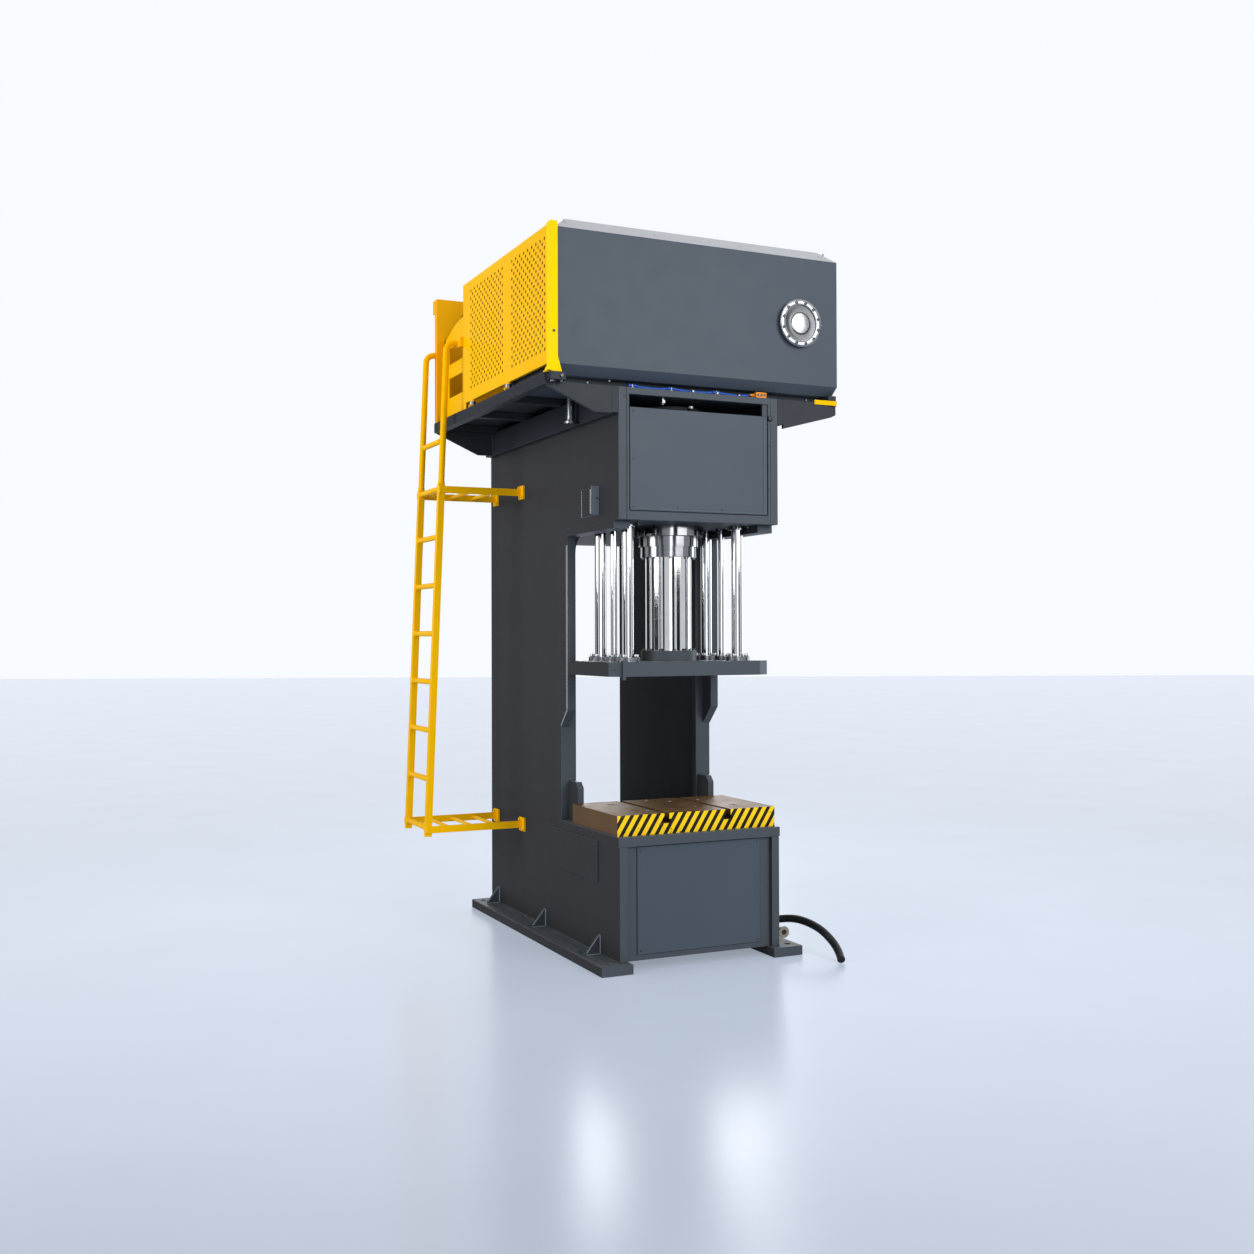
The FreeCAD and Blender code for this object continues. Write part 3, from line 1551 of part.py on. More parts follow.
def ladder_brackets():
    """Arms that hold the ladder off the side plate, with cross bars and wall pads."""
    brackets = []
    for z in (size.lower_arm_z, size.upper_arm_z):
        half = size.arm_height / 2
        pad = size.arm_pad_size / 2
        wall = -outer_x - size.arm_pad_thickness
        outer_end = ladder_x(z) - size.stringer_size / 2
        pieces = []
        for low_y, high_y in arm_ys():
            centre = (low_y + high_y) / 2
            pieces.append(block("bracket_arm", (outer_end, wall), (low_y, high_y),
                                (z - half, z + half)))
            pieces.append(block("bracket_pad", (wall, -outer_x), (centre - pad, centre + pad),
                                (z - pad, z + pad)))
        inner_low = arm_ys()[0][1]
        inner_high = arm_ys()[1][0]
        for number in range(3):
            x = size.arm_bar_first_x - size.arm_bar_pitch * number
            pieces.append(rod("bracket_bar", "y", (x, z), (inner_low, inner_high),
                              size.arm_bar_radius))
        brackets.append(fuse("ladder_bracket", *pieces))
    return group("ladder_bracket_group", brackets)


# ---------------------------------------------------------------- hydraulic unit

motor_z = deck_plate_top + size.motor_axis_height


def pump_motor():
    """The foot-mounted electric motor, its axis along X."""
    end = size.motor_x + size.motor_length / 2
    start = size.motor_x - size.motor_length / 2
    casing = rod("motor_casing", "x", (motor_y, motor_z), (start, end), size.motor_radius)
    half = size.motor_foot_half
    foot = block("motor_foot", (size.motor_x - half, size.motor_x + half),
                 (motor_y - size.motor_radius, motor_y + size.motor_radius),
                 (deck_plate_top, deck_plate_top + size.motor_foot_thickness))
    saddle = block("motor_saddle", (size.motor_x - half, size.motor_x + half),
                   (motor_y - half / 2, motor_y + half / 2),
                   (deck_plate_top, motor_z - size.motor_radius / 2))
    box_size = size.motor_foot_half / 2
    terminal = block("terminal_box", (size.motor_x - box_size, size.motor_x + box_size),
                     (motor_y - box_size, motor_y + box_size),
                     (motor_z, motor_z + size.motor_radius + box_size))
    return fuse("motor", casing, foot, saddle, terminal)


def pump_unit():
    """The bell housing and the pump on the motor's shaft end."""
    start = size.motor_x + size.motor_length / 2
    bell_end = start + size.bell_length
    bell = rod("bell_housing", "x", (motor_y, motor_z), (start, bell_end), size.bell_radius)
    pump = rod("pump_body", "x", (motor_y, motor_z), (bell_end, bell_end + size.pump_length),
               size.pump_radius)
    return fuse("pump", bell, pump)


def valve_block():
    """The valve block with three solenoid valves on top."""
    half_x = size.block_width / 2
    half_y = size.block_depth / 2
    top = deck_plate_top + size.block_height
    pieces = [block("manifold", (size.block_x - half_x, size.block_x + half_x),
                    (block_y - half_y, block_y + half_y), (deck_plate_top, top))]
    for number in (-1, 0, 1):
        x = size.block_x + size.valve_pitch * number
        pieces.append(rod("solenoid", "z", (x, block_y), (top, top + size.valve_length),
                          size.valve_radius))
    return fuse("valves", *pieces)


def hydraulic_pipes():
    """The pressure pipe down to the barrel and the tank's drain pipe."""
    port_z = size.pipe_port_z
    tap_z = deck_plate_top + size.block_height / 2
    side_y = ram_y + size.cylinder_radius
    points = [
        (size.block_x - size.block_width / 2, block_y, tap_z),
        (size.pipe_x, block_y, tap_z),
        (size.pipe_x, block_y, port_z),
        (ZERO, block_y, port_z),
        (ZERO, side_y, port_z),
    ]
    pressure = bent_tube("pressure_pipe", points, [size.pipe_bend] * 3, size.pipe_radius)
    drain = rod("drain_riser", "z", (drain_x, drain_y),
                (size.drain_bottom, size.deck_top), size.drain_radius)
    flange = rod("drain_flange", "z", (drain_x, drain_y),
                 (size.drain_bottom, size.drain_bottom + size.drain_flange_thickness),
                 size.drain_flange_radius)
    return group("pipe_group", [pressure, fuse("drain_pipe", drain, flange)])


# ---------------------------------------------------------------- fittings

def air_lines():
    """The air line on the head's front edge with its fittings, and the vent fittings."""
    z = size.frame_top + size.air_line_rise
    line = rod("air_tube", "x", (air_line_y, z),
               (size.air_line_left, size.air_line_right), size.air_line_radius)
    pieces = [line]
    for x in (size.first_fitting_x, size.second_fitting_x, size.third_fitting_x):
        pieces.append(rod("air_fitting", "z", (x, air_line_y),
                          (size.frame_top, size.frame_top + size.fitting_height),
                          size.fitting_radius))
    tube = fuse("air_line", *pieces)
    vents = []
    for x in (size.left_vent_x, size.right_vent_x):
        vents.append(rod("vent_fitting", "z", (x, air_line_y),
                         (head_top_underside - size.vent_fitting_drop, head_top_underside),
                         size.fitting_radius))
    return group("air_line_group", [tube] + vents)


def clamp_strip():
    """The three-hole clamp strip on the head's front edge."""
    half = size.clamp_length / 2
    low_y = head_inside_y - size.clamp_width
    strip = plate("strip", "XZ", rectangle(
        size.clamp_x - half, size.clamp_x + half,
        size.frame_top, size.frame_top + size.clamp_height), (low_y, head_inside_y), [
            (size.clamp_x + size.clamp_hole_pitch * number,
             size.frame_top + size.clamp_height / 2, size.clamp_hole_radius)
            for number in (-1, 0, 1)])
    return strip


def side_bracket():
    """The folded bracket on the left side plate."""
    sheet_gauge = size.side_bracket_sheet
    wall = -outer_x
    base = wall - sheet_gauge
    tip = wall - size.side_bracket_reach
    web = side_bracket_web_y
    outline = [
        (wall, side_bracket_front_y), (wall, side_bracket_rear_y),
        (tip, side_bracket_rear_y), (tip, side_bracket_rear_y - sheet_gauge),
        (base, side_bracket_rear_y - sheet_gauge), (base, web + sheet_gauge),
        (tip, web + sheet_gauge), (tip, side_bracket_front_y),
        (tip + sheet_gauge, side_bracket_front_y), (tip + sheet_gauge, web),
        (base, web), (base, side_bracket_front_y),
    ]
    return plate("bracket_sheet", "XY", outline,
                 (size.side_bracket_bottom, size.side_bracket_top))


def frame_screws():
    """Screws of both covers, the frame bolt and the bolts of the ladder's pads."""
    screws = []
    base_face = front_y + size.base_frame_setback - size.base_cover_thickness
    edge = size.screw_radius * 3
    for side in (-1, 1):
        for z in (size.base_cover_bottom + edge, size.base_cover_top - edge):
            screws.append(rod("base_screw", "y", ((base_cover_x - edge) * side, z),
                              (base_face - size.screw_height, base_face), size.screw_radius))
    head_face = front_y + size.rebate_depth - size.head_cover_thickness
    head_half = inner_x - size.rebate_margin - size.head_cover_gap - edge
    low_z = size.throat_top + size.rebate_sill + size.head_cover_gap + edge
    for side in (-1, 1):
        for z in (low_z, (low_z + size.vent_bottom - edge) / 2, size.vent_bottom - edge):
            screws.append(rod("head_screw", "y", (head_half * side, z),
                              (head_face - size.screw_height, head_face), size.screw_radius))
    screws.append(hexagon("frame_bolt", "y", (size.frame_bolt_x, size.frame_bolt_z),
                          (front_y - size.frame_bolt_height, front_y), size.frame_bolt_width))
    pad_face = -outer_x - size.arm_pad_thickness
    reach = size.arm_pad_size / 2 - size.small_bolt_width
    for z in (size.lower_arm_z, size.upper_arm_z):
        for low_y, high_y in arm_ys():
            for corner in (-1, 1):
                y = (low_y + high_y) / 2 + reach * corner
                screws.append(hexagon("pad_bolt", "x", (y, z + reach * corner),
                                      (pad_face - size.small_bolt_height, pad_face),
                                      size.pad_bolt_width))
    return group("screw_group", screws)


# ---------------------------------------------------------------- hose and elbow

# The hose's route from its exit at the base to its end on the floor, chosen by hand:
# x out from the side plate, y back from the frame's front, z up from the floor.
HOSE_ROUTE = (
    (25, 189, 150),
    (77, 165, 154),
    (149, 106, 166),
    (198, 29, 152),
    (217, -91, 125),
    (227, -215, 56),
    (190, -295, 20),
)


def hose_points():
    """The route's points in the press's frame."""
    return [FreeCAD.Vector(outer_x.value + x, front_y.value + y, z) for x, y, z in HOSE_ROUTE]


def hose_radii(points):
    """The largest bend that the two runs at each point allow."""
    radii = []
    for index in range(1, len(points) - 1):
        before = points[index] - points[index - 1]
        after = points[index + 1] - points[index]
        turn = before.getAngle(after)
        radii.append(0.45 * min(before.Length, after.Length) / math.tan(turn / 2))
    return radii


def conduit_hose():
    """The free hose from the base to the floor."""
    points = hose_points()
    radii = hose_radii(points)
    print("hose bend radii", [round(radius) for radius in radii])
    return bent_tube("hose", points, radii, size.hose_radius)


def hose_gland():
    """The stepped gland between the side plate and the hose, square to the hose's end."""
    start, following = hose_points()[:2]
    lead = (following - start).normalize()
    wall = outer_x.value
    reach = (start.x - wall) / lead.x
    root = start - lead * (reach + SIZES["gland_body_radius"])
    length = (start - root).Length
    barrel = Part.makeCylinder(SIZES["gland_body_radius"], length, root, lead)
    deep = length * 2
    trim = Part.makeBox(deep, deep * 2, deep * 2,
                        FreeCAD.Vector(wall - deep, start.y - deep, start.z - deep))
    gland = doc.addObject("Part::Feature", "gland_turned")
    gland.Shape = barrel.cut(trim)
    return gland


def drain_elbow():
    """The elbow on the right side plate that opens to the front."""
    bend = SIZES["elbow_bend"]
    wall = outer_x.value
    y = elbow_y.value
    z = SIZES["elbow_z"]
    thickness = SIZES["elbow_flange_thickness"]
    turn_centre = FreeCAD.Vector(wall, y - bend, z)
    rings = []
    for radius in (SIZES["elbow_radius"], SIZES["elbow_bore"]):
        circle = Part.Circle(FreeCAD.Vector(wall, y, z), FreeCAD.Vector(1, 0, 0), radius)
        rings.append(Part.Face(Part.Wire(circle.toShape())).revolve(
            turn_centre, FreeCAD.Vector(0, 0, 1), -90))
    front = FreeCAD.Vector(wall + bend, y - bend - thickness, z)
    backwards = FreeCAD.Vector(0, 1, 0)
    flange = Part.makeCylinder(SIZES["elbow_flange_radius"], thickness, front, backwards)
    mouth = Part.makeCylinder(SIZES["elbow_bore"], thickness, front, backwards)
    elbow = doc.addObject("Part::Feature", "elbow_pipe")
    elbow.Shape = rings[0].fuse(flange).cut(rings[1]).cut(mouth)
    return elbow


# ---------------------------------------------------------------- assembly

def build():
    """Make every sub-part under its node name."""
    for label, side in (("left", -1), ("right", 1)):
        keep(f"{label}_side_plate", side_plate(f"{label}_cheek_plate", side))
        keep(f"{label}_foot_plate", foot_plate(f"{label}_foot", side))
    for maker in (
            foot_gussets, throat_flanges, guide_rails, frame_webs, bed_top_plate,
            bed_cheek_plates, base_front_frame, base_cover_panel, throat_brackets,
            bolster_plate, bolster_bolts, head_bottom_plate, head_front_frame,
            head_cover_panel, side_beams, main_cylinder, cylinder_ring_nut,
            gland_ring, wiper_ring, guide_bushes, ram, ram_flange, platen, guide_rods,
            rod_flanges, slide_bolts, guide_shoes, deck_frame,
            deck_brackets, deck_plate, oil_tank, tank_lid, manhole_flange, manhole_cover,
            manhole_bolts, left_guard, guard_corner_post, guard_sockets, rear_guard,
            right_guard, ladder_gate, gate_hinge_pins, ladder_rails, ladder_rungs,
            ladder_brackets, pump_motor, pump_unit, valve_block, hydraulic_pipes,
            air_lines, clamp_strip, side_bracket, frame_screws, conduit_hose, hose_gland,
            drain_elbow):
        keep(maker.__name__, maker())


def check():
    """Stop where a feature failed, a shape is not sound or a cut took nothing away."""
    for feature in doc.Objects:
        if "Invalid" in feature.State or "Error" in feature.State:
            raise ValueError(f"{feature.Name} failed: {feature.State}")
    for feature in doc.Objects:
        if feature.TypeId == "PartDesign::Pocket":
            if feature.Shape.Volume >= feature.BaseFeature.Shape.Volume:
                raise ValueError(f"{feature.Name} cuts nothing")
    for label, feature in kept.items():
        shape = feature.Shape
        if shape.isNull() or not shape.isValid() or not shape.Solids:
            raise ValueError(f"{label} is not a sound solid")


build()
doc.recompute()
check()
os.makedirs("parts", exist_ok=True)
for node, sub_part in kept.items():
    sub_part.Shape.exportStep(f"parts/{node}.step")
print(len(kept), "nodes")
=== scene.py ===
import json
import math
from functools import cache

import bmesh
import bpy
from mathutils import Matrix, Vector


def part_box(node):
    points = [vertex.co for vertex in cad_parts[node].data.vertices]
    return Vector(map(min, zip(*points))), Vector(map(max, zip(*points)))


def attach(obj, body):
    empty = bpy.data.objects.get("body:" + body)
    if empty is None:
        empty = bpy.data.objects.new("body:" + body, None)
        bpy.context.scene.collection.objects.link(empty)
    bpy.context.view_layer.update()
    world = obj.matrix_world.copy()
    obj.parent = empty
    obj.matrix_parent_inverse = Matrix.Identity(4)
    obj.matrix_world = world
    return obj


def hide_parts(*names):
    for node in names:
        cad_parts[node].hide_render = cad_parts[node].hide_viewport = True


bl_info = {
    "name": "Hydraulic press dressing",
    "version": (1, 0, 0),
    "blender": (4, 5, 0),
    "location": "View3D > Sidebar > Press",
    "description": "Finishes and small fittings of a four rod hydraulic press",
    "category": "Object",
}

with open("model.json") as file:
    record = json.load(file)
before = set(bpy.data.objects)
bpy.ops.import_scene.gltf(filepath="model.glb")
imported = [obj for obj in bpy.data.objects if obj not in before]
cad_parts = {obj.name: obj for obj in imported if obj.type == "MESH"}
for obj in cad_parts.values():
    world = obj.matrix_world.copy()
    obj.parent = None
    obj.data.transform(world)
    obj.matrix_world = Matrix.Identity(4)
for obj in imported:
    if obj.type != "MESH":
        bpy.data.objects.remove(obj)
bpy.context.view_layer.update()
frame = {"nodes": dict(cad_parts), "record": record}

# Sideways run of the hazard stripes for each unit of height.
STRIPE_LEAN = 0.62

X, Y, Z = Vector((1, 0, 0)), Vector((0, 1, 0)), Vector((0, 0, 1))

# Heights, faces and axes of the press in metres.
FOOT_TOP, HEAD_TOP, DECK_TOP = 0.050, 2.950, 2.996
HEAD_FRONT, WALL_X, BEAM_X = -0.960, 0.465, 0.499
CYLINDER_Y = -0.590
MOTOR_Y, MOTOR_Z = 0.360, 3.146


def hex_colour(code):
    """Linear colour of an sRGB hex code."""
    channels = []
    for start in (0, 2, 4):
        value = int(code[start:start + 2], 16) / 255
        channels.append(value / 12.92 if value <= 0.04045 else ((value + 0.055) / 1.055) ** 2.4)
    return (*channels, 1.0)


def mm(length):
    """Millimetres as metres."""
    return length / 1000


# ---------------------------------------------------------------- settings

def colour_setting(name, description, code):
    return bpy.props.FloatVectorProperty(
        name=name, description=description, subtype="COLOR", size=4, min=0, max=1,
        default=hex_colour(code))


def length_setting(name, description, millimetres):
    return bpy.props.FloatProperty(
        name=name, description=description, unit="LENGTH", min=0, precision=4,
        default=mm(millimetres))


class PRESS_PG_colours(bpy.types.PropertyGroup):
    structure: colour_setting("Structure enamel", "Satin enamel of the frame's fronts", "474D53")
    # Painted shade: the colour of the faces that look sideways, darker than the fronts.
    broad_face_shade: colour_setting("Broad faces", "Darker coat of the plates' broad faces", "38383A")
    cover: colour_setting("Cover enamel", "Enamel of the covers and the tank", "48515A")
    # Partly painted shade: the roof frame's own enamel, made darker for the shade under the roof.
    deck: colour_setting("Deck enamel", "Darker enamel of the roof frame", "303439")
    safety: colour_setting("Safety yellow", "Powder coat of guards and ladder", "FFC000")
    # Painted shade: the rear guard's yellow, made deeper for the shade that falls on it behind the gate.
    rear_guard_shade: colour_setting("Deep yellow", "Powder coat of the rear guard", "FFB400")
    post: colour_setting("Corner post yellow", "Powder coat of the corner post", "FFDC00")
    stripe: colour_setting("Hazard stripe", "Dark stripe on the bolster's front", "1B1A17")
    stripe_ground: colour_setting("Stripe ground", "Yellow between the stripes", "FFD21A")
    lid: colour_setting("Lid enamel", "Silver enamel of the tank's lid", "AEB0B4")
    # Painted shade: the lid's ends, which look sideways, are painted darker than its top.
    lid_end_shade: colour_setting("Lid ends", "Darker silver of the lid's ends", "6A6C70")
    oil_brown: colour_setting("Oiled steel", "Brown film of oil on the bolster", "64492A")
    hose: colour_setting("Hose rubber", "Black rubber of the hose", "17181A")
    air: colour_setting("Air line blue", "Polyurethane air line", "1C5FD0")
    clamp: colour_setting("Clamp orange", "Moulded clamp strip", "F79A12")
    floor: colour_setting("Floor", "Pale floor under the press", "D6E1F3")


class PRESS_PG_sizes(bpy.types.PropertyGroup):
    edge: length_setting("Plate edge", "Broken edge of the thick plates", 3.0)
    sheet_edge: length_setting("Sheet edge", "Broken edge of sheet pieces", 0.8)
    hole_radius: length_setting("Hole radius", "Radius of the guard's holes", 9.5)
    hole_pitch_y: length_setting("Hole pitch along", "Pitch of the holes along the guard", 58)
    hole_pitch_z: length_setting("Hole pitch up", "Pitch of the holes up the guard", 45.8)
    stripe_pitch: length_setting("Stripe pitch", "Pitch of the hazard stripes along the edge", 50)
    seam: length_setting("Weld seam", "Leg of the fillet welds", 6)
    hose_radius: length_setting("Hose radius", "Outer radius of the hose", 21)
    fin_pitch: length_setting("Fin pitch", "Pitch of the motor's cooling fins", 14)
    air_sag: length_setting("Air line sag", "How far the air line hangs between fittings", 6)


def paint_of(name):
    """A colour of the settings as plain numbers."""
    return tuple(getattr(bpy.context.scene.press_colours, name))


def sizes():
    """The size settings."""
    return bpy.context.scene.press_sizes


# ---------------------------------------------------------------- mesh work

def across(axis):
    """Two unit vectors square to an axis and to each other."""
    axis = axis.normalized()
    side = X.copy() if abs(axis.z) > 0.999 else Z.cross(axis).normalized()
    return side, axis.cross(side)


def ring(centre, axis, radius, count, start=0.0):
    """Points round an axis."""
    side, up = across(axis)
    return [centre + (side * math.cos(turn) + up * math.sin(turn)) * radius
            for turn in (start + math.tau * n / count for n in range(count))]


def loft(bm, rings, loop=False):
    """Join rings of points with quads, with caps at the ends or back round to the first."""
    rows = [[bm.verts.new(point) for point in points] for points in rings]
    pairs = list(zip(rows, rows[1:]))
    if loop:
        pairs.append((rows[-1], rows[0]))
    for low, high in pairs:
        for n in range(len(low)):
            m = (n + 1) % len(low)
            bm.faces.new((low[n], low[m], high[m], high[n]))
    if not loop:
        bm.faces.new(list(reversed(rows[0])))
        bm.faces.new(rows[-1])


def turn(bm, centre, axis, profile, count=32, loop=False):
    """A turned solid from (radius, height) corners along an axis."""
    axis = axis.normalized()
    loft(bm, [ring(centre + axis * height, axis, radius, count) for radius, height in profile],
         loop=loop)


def prism(bm, outline, sweep):
    """A prism from a flat outline and a sweep vector."""
    loft(bm, [outline, [point + sweep for point in outline]])


def rounded(low, high, radius, steps=4):
    """Corners of a rectangle with rounded corners, as (a, b) pairs."""
    points = []
    corners = ((high[0] - radius, high[1] - radius, 0), (low[0] + radius, high[1] - radius, 1),
               (low[0] + radius, low[1] + radius, 2), (high[0] - radius, low[1] + radius, 3))
    for a, b, quarter in corners:
        for n in range(steps + 1):
            angle = math.pi / 2 * (quarter + n / steps)
            points.append((a + radius * math.cos(angle), b + radius * math.sin(angle)))
    return points


def soft_box(bm, low, high, edge, axis="z"):
    """A machined or cast block: rounded round one axis, with its rims broken."""
    a, b, c = {"x": (1, 2, 0), "y": (2, 0, 1), "z": (0, 1, 2)}[axis]
    rings = []
    for inset, height in ((edge, low[c]), (0, low[c] + edge), (0, high[c] - edge), (edge, high[c])):
        points = []
        for p, q in rounded((low[a] + inset, low[b] + inset), (high[a] - inset, high[b] - inset),
                            max(edge * 2 - inset, edge * 0.5)):
            point = Vector((0, 0, 0))
            point[a], point[b], point[c] = p, q, height
            points.append(point)
        rings.append(points)
    loft(bm, rings)


def hex_ring(centre, axis, flats, count=24):
    """Points along a hexagon's edge, as many as a round ring has."""
    side, up = across(axis)
    points = []
    for n in range(count):
        angle = math.tau * n / count
        inner = (angle % (math.pi / 3)) - math.pi / 6
        reach = flats / 2 / math.cos(inner)
        points.append(centre + (side * math.cos(angle) + up * math.sin(angle)) * reach)
    return points


def hexagon_bolt(bm, base, axis, flats, height, washer=True):
    """A hexagon head with its corners turned off, on a washer."""
    axis = axis.normalized()
    foot = height * 0.16 if washer else 0.0
    if washer:
        turn(bm, base, axis, [(flats * 0.62, 0), (flats * 0.62, foot * 0.7), (flats * 0.58, foot)],
             count=24)
    loft(bm, [hex_ring(base + axis * foot, axis, flats),
              hex_ring(base + axis * height * 0.86, axis, flats),
              ring(base + axis * height, axis, flats * 0.46, 24)])


def socket_bolt(bm, base, axis, radius, height, flats):
    """A cap screw with a hexagon socket."""
    axis = axis.normalized()
    loft(bm, [ring(base, axis, radius, 24), ring(base + axis * height * 0.85, axis, radius, 24),
              ring(base + axis * height, axis, radius * 0.88, 24),
              hex_ring(base + axis * height, axis, flats),
              hex_ring(base + axis * height * 0.45, axis, flats * 0.98)])


def pan_screw(bm, base, axis, radius, height):
    """A low domed screw head with a socket."""
    axis = axis.normalized()
    loft(bm, [ring(base, axis, radius, 24), ring(base + axis * height * 0.45, axis, radius * 0.96, 24),
              ring(base + axis * height * 0.85, axis, radius * 0.72, 24),
              ring(base + axis * height, axis, radius * 0.5, 24),
              hex_ring(base + axis * height, axis, radius * 0.62),
              hex_ring(base + axis * height * 0.35, axis, radius * 0.6)])


def tube(bm, points, radius, count=12, wave=0.0, pitch=0.0):
    """A round tube along points; a wave gives the ripples of a weld seam."""
    rings = []
    previous = None
    run = 0.0
    for n, point in enumerate(points):
        ahead = points[min(n + 1, len(points) - 1)] - points[max(n - 1, 0)]
        ahead.normalize()
        if previous is None:
            side = across(ahead)[0]
        else:
            side = (previous - ahead * previous.dot(ahead)).normalized()
        previous = side
        up = ahead.cross(side)
        if n:
            run += (point - points[n - 1]).length
        reach = radius * (1 + wave * math.sin(math.tau * run / pitch)) if pitch else radius
        rings.append([point + (side * math.cos(a) + up * math.sin(a)) * reach
                      for a in (math.tau * k / count for k in range(count))])
    loft(bm, rings)


def seam(bm, start, end, leg):
    """A weld seam along a straight joint."""
    start, end = Vector(start), Vector(end)
    count = max(2, int((end - start).length / mm(5)))
    tube(bm, [start.lerp(end, n / count) for n in range(count + 1)], leg * 0.72, 8, 0.10, mm(10))


def smooth_path(points, steps=10):
    """Points on a smooth line through given points."""
    points = [Vector(point) for point in points]
    path = []
    for n in range(len(points) - 1):
        p0, p1 = points[max(n - 1, 0)], points[n]
        p2, p3 = points[n + 1], points[min(n + 2, len(points) - 1)]
        for k in range(steps):
            t = k / steps
            path.append(0.5 * ((2 * p1) + (p2 - p0) * t + (2 * p0 - 5 * p1 + 4 * p2 - p3) * t * t
                               + (3 * p1 - p0 - 3 * p2 + p3) * t ** 3))
    path.append(points[-1])
    return path


def holed_sheet(bm, outer, holes, lift, sweep):
    """A sheet with holes: outlines as (a, b) pairs, lifted into space and swept."""
    loops = []
    for outline in [outer] + holes:
        verts = [bm.verts.new(lift(a, b)) for a, b in outline]
        loops.append([bm.edges.new((verts[n], verts[(n + 1) % len(verts)]))
                      for n in range(len(verts))])
    edges = [edge for loop in loops for edge in loop]
    made = bmesh.ops.triangle_fill(bm, use_beauty=True, use_dissolve=False, edges=edges,
                                   normal=sweep.normalized())
    faces = [item for item in made["geom"] if isinstance(item, bmesh.types.BMFace)]
    swept = bmesh.ops.extrude_face_region(bm, geom=faces)
    moved = [item for item in swept["geom"] if isinstance(item, bmesh.types.BMVert)]
    bmesh.ops.translate(bm, verts=moved, vec=sweep)


def piece(name, bm, body, slot, material=None, replaces=(), angle=32):
    """Turn collected faces into a piece on a body, in its slot's finish or one of its own."""
    bmesh.ops.recalc_face_normals(bm, faces=bm.faces)
    mesh = bpy.data.meshes.new(name)
    bm.to_mesh(mesh)
    bm.free()
    mesh.shade_smooth()
    mesh.set_sharp_from_angle(angle=math.radians(angle))
    mesh.materials.append(material or finish_of(slot))
    made = bpy.data.objects.new(name, mesh)
    bpy.context.scene.collection.objects.link(made)
    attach(made, body)
    if replaces:
        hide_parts(*replaces)


def breaking(made, width):
    """Break the sharp edges of a piece, as grinding and paint leave them."""
    weld = made.modifiers.new("weld_corners", "WELD")
    weld.merge_threshold = mm(0.02)
    edge = made.modifiers.new("broken_edges", "BEVEL")
    edge.width = width
    edge.segments = 2
    edge.limit_method = "ANGLE"
    edge.angle_limit = math.radians(38)
    edge.harden_normals = True
    edge.use_clamp_overlap = True


# ---------------------------------------------------------------- materials

# Sockets of a colour mix: its share, then the two colours.
SHARE, FIRST, SECOND = 0, 6, 7

# Most of a noise lies in this range, which is stretched to the whole one.
MIDDLE = {"From Min": 0.3, "From Max": 0.7}


def add_node(tree, kind, inputs=None, **settings):
    """Add one node with its settings, its values and its links."""
    node = tree.nodes.new(kind)
    for setting, value in settings.items():
        setattr(node, setting, value)
    for name, value in (inputs or {}).items():
        if isinstance(value, bpy.types.Node):
            value = next(output for output in value.outputs if output.enabled)
        if isinstance(value, bpy.types.NodeSocket):
            tree.links.new(value, node.inputs[name])
        else:
            node.inputs[name].default_value = value
    return node


def new_material(name):
    """An empty material, its nodes and the coordinates of the piece, in metres."""
    material = bpy.data.materials.new(name)
    material.use_nodes = True
    tree = material.node_tree
    tree.nodes.clear()
    return material, tree, add_node(tree, "ShaderNodeTexCoord").outputs["Object"]


def per_metre(width_mm):
    """Scale of a pattern whose patches are this many millimetres wide."""
    return 1000 / width_mm


def shade(colour, factor):
    """A colour made darker or lighter."""
    return (colour[0] * factor, colour[1] * factor, colour[2] * factor, 1.0)


